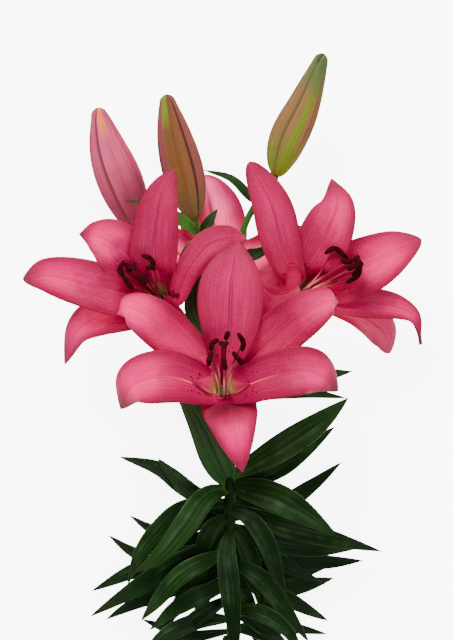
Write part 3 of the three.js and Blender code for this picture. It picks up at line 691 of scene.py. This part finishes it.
POINTED = {**OUTER, "outline": (0.46, 1, 0.2)}
STRAP = {**OUTER, "outline": (0.7, 0.75, 0.74)}
DRIP = {**OUTER, "outline": (0.42, 1.05, 0.2), "end": 1.5}
DOWN = (0, 0, -1)
# Each tepal: its kind, width, lightness (its own tone, and painted light and shade), darkness of
# its tip, how far from its root it is painted in deep shade, which way it faces, and its midrib
# past the funnel.
TEPALS = {
    "front": [
        (WAISTED, 50, -0.25, 0.3, 0, UP, [(5, 95, 107), (6.5, 128, 108), (12, 159, 102)]),
        (LIPPED, 40, 0.95, 1.0, 0, UP,
         [(-34, 57, 114), (-54, 57.5, 122), (-69.5, 50, 114), (-76.5, 34, 99)]),
        (LIPPED, 37, 0.35, 1.0, 0, UP,
         [(35, 58, 117), (59, 63, 122), (75, 58.5, 114), (86, 47.5, 101)]),
        (ROLLED, 35, 1.0, 0.3, 0, UP,
         [(-41, 91, 109), (-59, 105, 116), (-72, 110, 111), (-79, 105, 101)]),
        (ROLLED, 36, 0.45, 0.3, 0, UP,
         [(44, 92, 107), (64, 107, 115), (79, 115, 111), (86, 114, 101)]),
        (HANGING, 41, 0.5, 0.5, 0.52, UP, [(6.5, 29, 102), (10, 11, 106), (14.5, -13, 96)]),
    ],
    "left": [
        (LANCE, 36.5, 0.35, 0.6, 0, UP,
         [(-80, 121, 93), (-107, 129, 98), (-132, 134, 94), (-150, 131, 84)]),
        (LANCE, 36, -0.5, 0.4, 0, UP,
         [(-52, 145, 93), (-50.5, 168, 101), (-46.5, 192, 104), (-37, 213, 100)]),
        (INNER, 30, 0.1, 0.2, 0.6, UP, [(-41, 98, 82), (-38, 85, 86), (-33, 72, 82)]),
        (POINTED, 41, 0.5, 1.0, 0, UP,
         [(-68, 144, 90), (-83, 158, 97), (-97, 164, 94), (-108, 165, 86)]),
        (STRAP, 22, -0.4, 0.3, 0.35, UP,
         [(-35, 118, 85), (-26, 138, 93), (-12, 156, 93), (4, 162, 89), (18, 161, 81)]),
        (OUTER, 31, 0.5, 0.5, 0.3, UP,
         [(-70, 108, 84), (-92, 103.5, 86), (-109.5, 92, 78), (-119, 67, 60)]),
    ],
    "right": [
        (TALL, 31.5, -0.2, 0.35, 0, UP,
         [(48, 144, 82), (42, 165, 90), (35.5, 189, 93), (19.5, 219, 90)]),
        (LANCE, 44.5, 0.45, 0.4, 0, UP,
         [(90, 134, 66), (108, 142, 65), (129, 152.5, 59), (149.5, 161, 46)]),
        (SPOON, 25, -0.4, 0.3, 0.36, UP,
         [(80, 112, 55), (99, 106, 42), (114, 97.5, 28), (122.5, 89, 18), (126, 75.5, 8)]),
        (OUTER, 40, 0.2, 0.6, 0, UP,
         [(70, 150, 82), (79.5, 170, 87), (85.5, 188, 84), (81.5, 206.5, 75)]),
        (DRIP, 24, 0.25, 1.0, 0.3, UP,
         [(92, 115, 64), (114, 113, 61), (132, 110, 53), (145, 101.5, 44), (149.3, 82, 34)]),
        (OUTER, 44, -0.9, 0.2, 0.2, UP, [(42, 120.5, 69), (31, 125.5, 69), (18, 135, 62)]),
    ],
    "back": [
        (INNER, 50, 0.5, 0.4, 0, DOWN, [(-6, 163, 47), (-10, 188, 45), (-14, 210, 39)]),
        (INNER, 38, 0.4, 0.3, 0, UP, [(-30, 145, 12), (-48, 158, 2), (-68, 172, 0.4)]),
        (INNER, 38, 0.4, 0.3, 0, UP, [(28, 144, 12), (46, 156, 2), (66, 168, 0.4)]),
        (OUTER, 30, 0.4, 0.3, 0, (-0.6, 0, -0.8), [(24, 147, 40), (44, 158, 36), (64, 168, 28)]),
        (OUTER, 30, 0.4, 0.3, 0, (0.6, 0, -0.8), [(-28, 147, 40), (-46, 159, 36), (-63, 171, 28)]),
        (OUTER, 36, 0.4, 0.3, 0, UP, [(-2, 143, 8), (-3, 162, 1), (-4, 186, 0.4)]),
    ],
}


def furrow(depth):
    """The furrow along the middle of a tepal and the soft swell on both sides of it."""
    def relief(u, v, half):
        fall = -depth * math.exp(-(v / 0.11) ** 2) * (1 - smooth(u, 0.25, 0.8))
        swell = 0.045 * half * (1 - math.cos(v * 4.4))
        swell = swell * smooth(u, 0.15, 0.4) * (1 - smooth(u, 0.8, 1))
        return (fall + swell) * smooth(u, 0, 0.08)
    return relief


# The colours of a tepal's face, and of its back with "back" in front.
PETAL_COLOURS = {
    "rose": (0.242, 0.00387, 0.0402), "light rose": (0.702, 0.001, 0.116),
    "shaded": (0.123, 0.00808, 0.0266), "crimson": (0.182, 0.001, 0.0191),
    "root": (0.574, 0.00127, 0.0813), "vein": (0.131, 0.00216, 0.0208),
    "thread": (0.941, 0.00434, 0.194), "light speck": (0.95, 0.0322, 0.256),
    "dark speck": (0.105, 0.00222, 0.0161), "midrib": (0.0911, 0.00288, 0.0153),
    "lip_shadow": (0.182, 0.001, 0.0239), "dusk": (0.067, 0.00146, 0.00735),
    "margin": (0.145, 0.001, 0.0191), "lip": (0.182, 0.001, 0.03),
    "lit root": (0.367, 0.0167, 0.0608), "furrow": (0.757, 0.0844, 0.109),
    "olive": (0.112, 0.0897, 0.0327), "cream": (0.657, 0.347, 0.0828),
    "fold": (0.57, 0.167, 0.0806), "freckle": (0.0518, 0.001, 0.00604),
    "tip": (0.157, 0.001, 0.0194), "dry tip": (0.0399, 0.00709, 0.00668),
    "back pale": (0.872, 0.0797, 0.249), "back edge": (0.247, 0.01, 0.049),
    "back vein": (0.204, 0.0111, 0.0465), "back rib": (0.166, 0.0129, 0.04),
    "back root": (0.127, 0.145, 0.0285), "back dusk": (0.067, 0.00215, 0.00972),
    "back tip": (0.0285, 0.0185, 0.00775),
}
FRECKLES_A_METRE = 350.0
# How far from its bloom's heart, in millimetres, each colour of the throat fades, from and to.
THROAT = {"olive": (6, 14), "lit root": (9, 24), "fold": (10, 22), "furrow": (24, 58),
          "lip": (40, 80), "freckles start": (10, 14), "freckles end": (26, 42)}
# A line across the front bloom's throat, in metres along the lily. Below it the roots of its lower
# tepals are crimson, as where the real tepals roll into lips, and its filaments and pistil are
# painted in the crimson of the lips and their shade, as painted shade where the lips hide them.
LIP_LINE = 0.0445

petal_face, wire, shader = finish_of("petal_face", 0.6, 0.06)
u, v, shade = veined(wire)
side, tip, dusk, reach = abs(v), carried(wire, "tip"), carried(wire, "dusk"), carried(wire, "reach")
patch = grain(wire, 0.014, 3) - 0.5
speck = grain(wire, 0.0011, 2) - 0.5
blush = grain(wire, 0.035, 1) - 0.5
streak = streaks(wire, 24, 1.6)
thread = streaks(wire, 70, 4.0, 2)
# The rose of the blade: a painted highlight where it rolls over, crimson at its root and sides.
roll_highlight = fade(u + patch * 0.3, 0.34, 0.74) * (1 - fade(u, 0.8, 0.98) * 0.75)
roll_highlight = roll_highlight * (1 - side * side * 0.6)
# Each tepal's lightness is painted light and shade as well as tone; the darkest are shaded further.
paint = Paint(PETAL_COLOURS, fade(roll_highlight * 0.7 + shade * 0.7 - 0.35 + patch * 0.3, 0, 1),
              "rose", "light rose")
paint(fade(0 - shade, 0.15, 0.9) * 0.5, "shaded")
deep = (fade(u, 0.14, 0.3) * wane(u, 0.36, 0.7) * 0.36 + side ** 2 * (1.0 - u * 0.5)
        + patch * 0.4 + blush * 0.7)
paint(fade(deep, 0, 1), "crimson")
paint(wane(u + patch * 0.1, 0.2, 0.48) * 0.3, "root")
# Its veins, streaks and specks, and its dark midrib.
vein = wane(abs(streak - 0.5), 0.0, 0.05) * 0.7 + wane(abs(thread - 0.5), 0.0, 0.06) * 0.3
paint(vein * (0.32 - u * 0.12), "vein")
paint(fade(thread, 0.5, 0.75) * 0.16 + fade(streak, 0.52, 0.68) * 0.08, "thread")
paint(fade(speck, -0.1, 0.3) * 0.1, "light speck")
paint(fade(0 - speck, 0.0, 0.25) * 0.12, "dark speck")
midrib = wane(abs(side - 0.035), 0.008, 0.032) * wane(u, 0.7, 0.97)
midrib = midrib * fade(u, 0.2, 0.4) * (0.75 - fade(shade, 0.0, 0.5) * 0.5)
paint(midrib, "midrib")
# The painted deep shade at the root of a tepal that others cover, and the painted crimson shadow
# that the lips cast on the shoulder of the one that hangs.
lip_shadow = fade(dusk, 0.48, 0.51)
paint(wane(u, 0.46, 0.68) * lip_shadow * 0.75, "lip_shadow")
paint(wane(u - dusk - side * 0.06, -0.14, 0.0) * 0.85, "dusk")
paint(wane(u, 0.26, 0.34) * lip_shadow, "margin")
# The lips and the crimson margins.
height = headwards(wire)
lip = wane(height, LIP_LINE - 0.0005, LIP_LINE + 0.0135)
lip = lip * wane(dusk, 0.4, 0.5) * wane(reach, *THROAT["lip"])
paint(lip * 0.5, "lip")
margin = fade(side + patch * 0.2 - shade * 0.06, 0.46, 1.0) * (0.78 - roll_highlight * 0.4)
paint(margin, "margin")
# The throat: a root painted lighter as painted light, with a cream furrow, olive and cream threads,
# and maroon freckles.
bare = wane(dusk, 0.1, 0.2)
lit_root = bare * fade(height, LIP_LINE, LIP_LINE + 0.002)
near = reach + (streak - 0.5) * 10 + (thread - 0.5) * 8
paint(wane(near, *THROAT["lit root"]) * 0.5 * lit_root, "lit root")
crease = wane(side, 0.01, 0.07) * wane(near, *THROAT["furrow"])
paint(crease * (0.25 + fade(tip, 0.7, 0.9) * 0.45) * bare, "furrow")
paint(wane(near, *THROAT["olive"]) * lit_root * 0.8,
      paint.blend(fade(thread, 0.35, 0.65), "olive", "cream"))
folded = fade(side, 0.75, 0.95) * wane(near, *THROAT["fold"])
folded = folded * fade(height, LIP_LINE, LIP_LINE + 0.0015)
folded = folded * wane(height, LIP_LINE + 0.0075, LIP_LINE + 0.0135)
paint(folded * (0.2 + thread * 0.6), "fold")
cells = {"Vector": wire.node("TexCoord", output="Object"), "Scale": FRECKLES_A_METRE}
spot = wane(wire.node("TexVoronoi", inputs=cells, output="Distance"), 0.2, 0.34)
draw = wire.node("TexVoronoi", inputs=cells, output="Color")
chance = fade(wire.node("SeparateXYZ", inputs={0: draw}), 0.38, 0.43)
freckled = spot * chance * fade(reach, *THROAT["freckles start"])
freckled = freckled * wane(reach, *THROAT["freckles end"]) * wane(side, 0.55, 0.9)
paint(freckled * bare * 0.95, "freckle")
# The tip is crimson and dries to brown.
paint(fade(u, 0.75, 0.9) * tip * 0.85, paint.blend(fade(u, 0.89, 0.94), "tip", "dry tip"))
join(0.55 + patch * 0.15, shader, "Roughness")
paint.onto(shader, streak * 0.7 + thread * 0.3 + speck * 0.3, 0.5, 0.0006)

petal_back, wire, shader = finish_of("petal_back", 0.6, 0.06)
u, v, shade = veined(wire)
side, tip, dusk = abs(v), carried(wire, "tip"), carried(wire, "dusk")
patch = grain(wire, 0.016, 3) - 0.5
streak = streaks(wire, 20, 1.4)
paint = Paint(PETAL_COLOURS, fade(side + patch * 0.4 + u * 0.2, 0.25, 1.05),
              "back pale", "back edge")
paint(wane(abs(streak - 0.5), 0.0, 0.06) * 0.25, "back vein")
rib = wane(side, 0.02, 0.10) * wane(u, 0.7, 0.95)
paint(rib * 0.75, "back rib")
paint(wane(u, 0.04, 0.3) * 0.7, "back root")
# Painted deep shade on the back of a tepal's root where others cover it.
paint(wane(u - dusk + patch * 0.06, -0.14, 0.02) * 0.85, "back dusk")
paint(fade(u, 0.94, 1.0) * tip, "back tip")
paint.onto(shader, streak + patch * 0.2, 0.4, 0.0006)

for bloom, foot, axis in stands():
    tepals = bmesh.new()
    for index, (kind, width, tint, tip, dusk, face, points) in enumerate(TEPALS[bloom]):
        shape = {**kind, "outline": outline_of(*kind["outline"])}
        outwards = across(Vector(points[0]) - foot, axis)
        rise, flare = shape.pop("rise"), shape.pop("flare")
        path = Path([foot + axis * ROOT_HEIGHT + outwards * ROOT_RING,
                     foot + axis * rise + outwards * flare, *points], face, -outwards)
        blade(tepals, path, width, wave=1.6, phase=index * 1.9, rows=46, columns=22, tint=tint,
              tip=tip, dusk=dusk, relief=furrow(width * 0.02), ease=1.3, thick=TEPAL_THICK,
              heart=foot + axis * HEART_HEIGHT, **shape)
    thickened(piece(f"{bloom}_tepals", tepals, [petal_face, petal_back], "tepal",
                    f"bloom_{bloom}_tepals"), TEPAL_THICK, 1)

# --------------------------------------
# The stamens. Six thin filaments stand round the pistil, cream at the root and crimson above, and
# each carries one anther: a long curved pollen sac, dark maroon, furrowed and powdery, that swings
# on the filament's tip.

# A filament's radius at its root and its end, the ring that it grows from, how far it bows out and
# at what height, and how early it turns crimson.
FILAMENT = {"root": 0.85, "end": 0.75, "ring": 2.8, "bow": 4.4, "bow_height": 24,
            "crimson": {"front": 0.0, "left": 0.3, "right": 0.05, "back": 0.0}}
FILAMENT_COLOURS = {"root": (0.227, 0.178, 0.0724), "middle": (0.586, 0.132, 0.145),
                    "end": (0.134, 0.00239, 0.0169)}
POLLEN_COLOURS = {"dark": (0.00888, 0.001, 0.00111), "light": (0.0302, 0.00362, 0.00335)}
LIP_SHADE = (0.228, 0.001, 0.03)
# The ring that the filaments grow from: the length of its path, the share of it that each row is
# at, and the radius there.
RING = {"length": 13, "rows": (0, 0, 0.16, 0.16, 0), "radii": (2.1, 4.7, 4.6, 2.1, 2.1)}
ANTHER_RADIUS = 2.3
# Each anther: its start, middle and end seen from above, and its height.
ANTHERS = {
    "front": [
        ((-9, 77), (-8, 83), (-3, 86), 131), ((-8, 77), (-10, 72), (-11, 66), 136),
        ((2, 86), (3, 89), (4, 92), 126), ((11, 91), (15, 84), (14, 77), 129),
        ((7, 77), (11, 72), (15, 67), 137), ((0, 73), (1, 68), (2, 63), 139),
    ],
    "left": [
        ((-74, 145), (-77, 138), (-74, 132), 106), ((-74, 133), (-71, 128), (-67, 123), 111),
        ((-63, 135), (-60, 131), (-57, 127), 117), ((-61, 149), (-54, 146), (-51, 140), 113),
        ((-58, 139), (-54, 140), (-50, 138), 119), ((-73, 143), (-71, 140), (-69, 136), 102),
    ],
    "right": [
        ((76, 150), (84, 154), (94, 146), 93), ((103, 143), (101, 134), (92, 128), 88),
        ((93, 138), (97, 140), (101, 143), 102), ((98, 147), (101, 145), (105, 141), 84),
        ((97, 133), (101, 138), (104, 143), 80), ((88, 146), (92, 144), (97, 145), 102),
    ],
    "back": [
        ((-10, 158), (-12, 164), (-12, 170), 24), ((2, 160), (8, 164), (12, 168), 23),
        ((-8, 170), (-4, 173), (2, 174), 36), ((6, 156), (11, 160), (16, 162), 33),
        ((-19, 154), (-16, 158), (-11, 160), 33), ((-4, 153), (-3, 160), (-2, 167), 20),
    ],
}


def above_lip(wire):
    """1 above the line of the front bloom's lips and 0 below it."""
    return fade(headwards(wire), LIP_LINE - 0.001, LIP_LINE + 0.001)


filament_finish, wire, shader = finish_of("filament_skin", 0.5, 0.08)
u = skin_share(wire, "Y")
patch = grain(wire, 0.003, 2) - 0.5
paint = Paint(FILAMENT_COLOURS, fade(u + patch * 0.1, 0.16, 0.4), "root", "middle")
paint(fade(u + carried(wire, "shade"), 0.54, 0.76), "end")
# Painted shade: below the front bloom's lips the filaments take the crimson of the lips' shade.
paint.skin = mix(above_lip(wire), LIP_SHADE, paint.skin)
paint.onto(shader, patch, 0.2, 0.0003)

pollen_finish, wire, shader = finish_of("pollen_sac", 0.9, 0.0)
dust = grain(wire, 0.0007, 3)
clump = grain(wire, 0.004, 2)
paint = Paint(POLLEN_COLOURS, fade(dust * 0.6 + clump * 0.6, 0.4, 0.85), "dark", "light")
paint.onto(shader, dust, 0.8, 0.0005)


def anther_radius(row, u, angle):
    """Two sacs side by side, with a furrow between them, round at both ends."""
    round_off = math.sqrt(max(0.0, 1 - abs(2 * u - 1) ** 3.2))
    waist = 0.22 * abs(math.cos(angle)) ** 6
    return ANTHER_RADIUS * round_off * (1 - waist + 0.06 * math.cos(2 * angle))


for bloom, foot, axis in stands():
    stamens = bmesh.new()
    turn(stamens, Path([foot + axis * SEAT_GAP, foot + axis * RING["length"]]), RING["rows"],
         lambda row, u, angle: RING["radii"][row], 24)
    for _, middle, _, z in ANTHERS[bloom]:
        tip = Vector((*middle, z))
        outwards = across(tip - foot, axis)
        rod(stamens, [foot + axis + outwards * FILAMENT["ring"],
                      foot + axis * FILAMENT["bow_height"] + outwards * FILAMENT["bow"], tip],
            FILAMENT["root"], FILAMENT["end"], 10, 30, FILAMENT["crimson"][bloom])
    filament_faces = len(stamens.faces)
    for start, middle, end, z in ANTHERS[bloom]:
        path = Path([(*start, z - 1), (*middle, z + 0.6), (*end, z - 1)], UP)
        turn(stamens, path, steps(26), anther_radius, 18)
    stamens.faces.ensure_lookup_table()
    for face in stamens.faces[filament_faces:]:
        face.material_index = 1
    piece(f"{bloom}_stamens", stamens, [filament_finish, pollen_finish], "stamen",
          f"bloom_{bloom}_stamens")

# --------------------------------------
# The pistils. A green ribbed ovary sits in the middle of each bloom and grows into one crimson
# style, which bows a little and ends in a dark sticky stigma of three lobes.

OVARY = {"radius": 1.9, "length": 15}
STYLE_RADIUS = 1.75
STIGMA_RADIUS = 3.4
# The knob of the stigma: the share of its height, and of its radius there.
KNOB = [(0, 0), (0.1, 0.5), (0.25, 0.68), (0.45, 0.88), (0.65, 1), (0.8, 1), (0.92, 0.9), (1, 0.68),
        (0.97, 0.3), (0.9, 0)]
PISTIL_COLOURS = {"ovary": (0.205, 0.171, 0.0672), "style": (0.105, 0.00262, 0.0115),
                  "stigma": (0.00553, 0.00128, 0.00128), "sticky": (0.0316, 0.00357, 0.00379)}
STIGMAS = {
    "front": (0.5, 82, 132),
    "left": (-67, 140, 112),
    "right": (100, 146, 98),
    "back": (-2, 168, 25),
}


def ovary_radius(row, u, angle):
    """Narrows to the style, with six shallow ribs. The rows at both ends close it."""
    if row in (0, 15):
        return 0
    return OVARY["radius"] * (1 - 0.4 * smooth(u, 0.7, 1)) * (1 + 0.07 * math.cos(6 * angle))


pistil_finish, wire, shader = finish_of("pistil_skin", 0.5, 0.0)
shade = carried(wire, "shade")
patch = grain(wire, 0.002, 2) - 0.5
paint = Paint(PISTIL_COLOURS, fade(shade + patch * 0.1, 0.0, 0.5), "ovary", "style")
paint(fade(shade, 0.6, 1.0), paint.blend(grain(wire, 0.0012), "stigma", "sticky"))
# Painted shade: below the front bloom's lips the pistil takes the crimson of the lips' shade.
paint.skin = mix(above_lip(wire), LIP_SHADE, paint.skin)
paint.onto(shader, patch, 0.3, 0.0003)

for bloom, foot, axis in stands():
    shoulder, end = foot + axis * OVARY["length"], Vector(STIGMAS[bloom])
    pistil = bmesh.new()
    turn(pistil, Path([foot + axis * SEAT_GAP, shoulder]), capped(steps(14)), ovary_radius, 24)
    middle = shoulder.lerp(end, 0.5) + axis * 1.5
    before = len(pistil.verts)
    rod(pistil, [shoulder - axis * 2, middle, end], STYLE_RADIUS, STYLE_RADIUS * 1.1, 14, 36)
    pistil.verts.ensure_lookup_table()
    shade = pistil.verts.layers.float["shade"]
    for vert in pistil.verts[before:]:
        vert[shade] = 0.5
    way = (end - middle).normalized()
    turn(pistil, Path([end - way * 2, end + way * 1.5]), [share for share, size in KNOB],
         lambda row, u, angle: STIGMA_RADIUS * KNOB[row][1] * (1 + 0.24 * math.cos(3 * angle)),
         30, 1.0)
    piece(f"{bloom}_pistil", pistil, [pistil_finish], "pistil", f"bloom_{bloom}_pistil")

# --------------------------------------
# The buds. Three outer tepals are still closed edge to edge round the rest, so each bud has three
# seams and three thick ribs, and a blunt tip that is just opening. They colour with age: mauve pink
# on the left, olive bronze in the middle, and tan with a lime rib on the right.

BUD_SPECK = (0.723, 0.307, 0.0827)
# Each bud: radius, how early it swells, the heading of one rib in degrees, and the colours of its
# skin. A stripe and a patch at the tip have their own heading and half width in degrees, and the
# base colour reaches as high as low.
BUDS = {
    "left": (16.7, 0.74, 78, {
        "stripe": (88, 34), "patch": (105, 24), "rib": (0.304, 0.0385, 0.0856),
        "left flank": (0.327, 0.0464, 0.0964), "right flank": (0.223, 0.0254, 0.055),
        "cheek": (0.249, 0.0346, 0.0681), "seam": (0.0788, 0.0171, 0.0245),
        "tip": (0.472, 0.117, 0.0294),
        "base": (0.0609, 0.0153, 0.0233), "low": 0.62, "streak and side shade": (0.105, 0.0155, 0.0316)}),
    "centre": (15, 0.8, 123, {
        "stripe": (112, 30), "patch": (124, 26), "rib": (0.0782, 0.0342, 0.0109),
        "left flank": (0.116, 0.0291, 0.0312), "right flank": (0.0986, 0.0365, 0.0159),
        "cheek": (0.116, 0.0327, 0.0273), "seam": (0.0253, 0.0093, 0.00753),
        "tip": (0.0727, 0.109, 0.0138),
        "base": (0.0609, 0.048, 0.0153), "low": 0.4, "streak and side shade": (0.0762, 0.0173, 0.0233)}),
    "right": (14, 0.76, 62, {
        "stripe": (84, 13), "patch": (90, 110), "rib": (0.0783, 0.12, 0.00816),
        "left flank": (0.123, 0.069, 0.0255), "right flank": (0.0925, 0.0415, 0.0196),
        "cheek": (0.106, 0.0565, 0.0242), "seam": (0.0677, 0.0402, 0.0181),
        "tip": (0.038, 0.0698, 0.0239),
        "base": (0.0621, 0.103, 0.00676), "low": 0.46, "streak and side shade": (0.0558, 0.0271, 0.0144)}),
}


def seam_distance(angle, heading):
    """How far an angle is from the nearest rib, from 0 there to 1 on a seam."""
    lobe = ((angle - heading) / (math.tau / 3)) % 1
    return min(lobe, 1 - lobe) * 2


for name, (radius, belly, heading, tints) in BUDS.items():
    heading = math.radians(heading)

    def bud_radius(row, u, angle):
        """Three raised ribs and three sunk seams, with a notch at each seam's end."""
        if row in (0, last):
            return 0
        swell = (radius - 3) * max(math.sin(math.pi * u ** belly), 0) ** 0.85 + 2.6 + 1.6 * u
        swell *= math.sqrt(max(1 - (max(u - 0.965, 0) / 0.035) ** 2, 0))
        off = seam_distance(angle, heading)
        relief = 0.05 * math.cos(math.pi * off) - 0.075 * math.exp(-((1 - off) / 0.08) ** 2)
        relief += 0.034 * math.exp(-(off / 0.16) ** 2) * (1 - smooth(u, 0.75, 0.95))
        relief -= 0.016 * math.exp(-((off - 0.34) / 0.06) ** 2)
        relief -= 0.4 * math.exp(-((1 - off) / 0.13) ** 2) * smooth(u, 0.93, 0.985)
        return swell * (1 + relief * smooth(u, 0.0, 0.1))

    def bud_slide(row, u, angle):
        """The ends of the three tepals stand out at the tip, round a small hollow."""
        if row == last:
            return -5.0
        return 3.6 * (0.3 - seam_distance(angle, heading) ** 3) * smooth(u, 0.9, 0.98)

    bud = bmesh.new()
    rows = capped([0.5 - 0.5 * math.cos(math.pi * share) for share in steps(90)])
    last = len(rows) - 1
    turn(bud, Path(BUD_PATHS[name], (0.2, 0.1, 1)), rows, bud_radius, 96, 0, bud_slide)

    bud_finish, wire, shader = finish_of(f"{name}_bud_skin", 0.5, 0.0)
    u, x = skin_share(wire, "Y"), skin_share(wire, "X")
    lobe = wire.node("Math", {"operation": "WRAP"},
                     {0: x * 3 - heading / (math.tau / 3), 1: 1.0, 2: 0.0})
    off = 1 - abs(lobe * 2 - 1)
    patch = grain(wire, 0.012, 3) - 0.5
    speck = grain(wire, 0.0009, 2) - 0.5
    vein = lines(x, 90, grain(wire, 0.03) * 0.02) ** 2
    streak = streaks(wire, 60, 1.5) - 0.5
    paint = Paint(tints, fade(lobe, 0.48, 0.52), "left flank", "right flank")
    beside = fade(abs(x - heading / math.tau), 0.163, 0.170)
    paint(beside, "cheek")
    for part, (middle, width), amount in (
        ("rib", tints["stripe"], 1 - beside),
        ("tip", tints["patch"], fade(u + patch * 0.2, 0.70, 0.92)),
    ):
        away = abs(x * 360 - middle) + patch * 20
        paint(wane(away, width * 0.4, width) * amount, part)
    paint(wane(u + patch * 0.2, 0.08, tints["low"]) * 0.85, "base")
    paint(fade(streak, 0.0, 0.2) * 0.5, "streak and side shade")
    paint(fade(speck, 0, 0.3) * 0.06, BUD_SPECK)
    # Painted shade: the sides and the underside of the bud, away from its top, are darkened.
    paint(fade(abs(x - 0.25), 0.18, 0.25) * 0.5, "streak and side shade")
    paint(wane(abs(off - 0.34), 0.0, 0.07) * 0.25, "seam")
    paint(fade(off + patch * 0.03, 0.87, 0.95) * 0.85, "seam")
    join(0.42 + patch * 0.2, shader, "Roughness")
    paint.onto(shader, vein * 0.7 + speck * 0.6, 0.4, 0.0005)
    piece(f"{name}_bud", bud, [bud_finish], f"bud_{name}", f"bud_{name}")
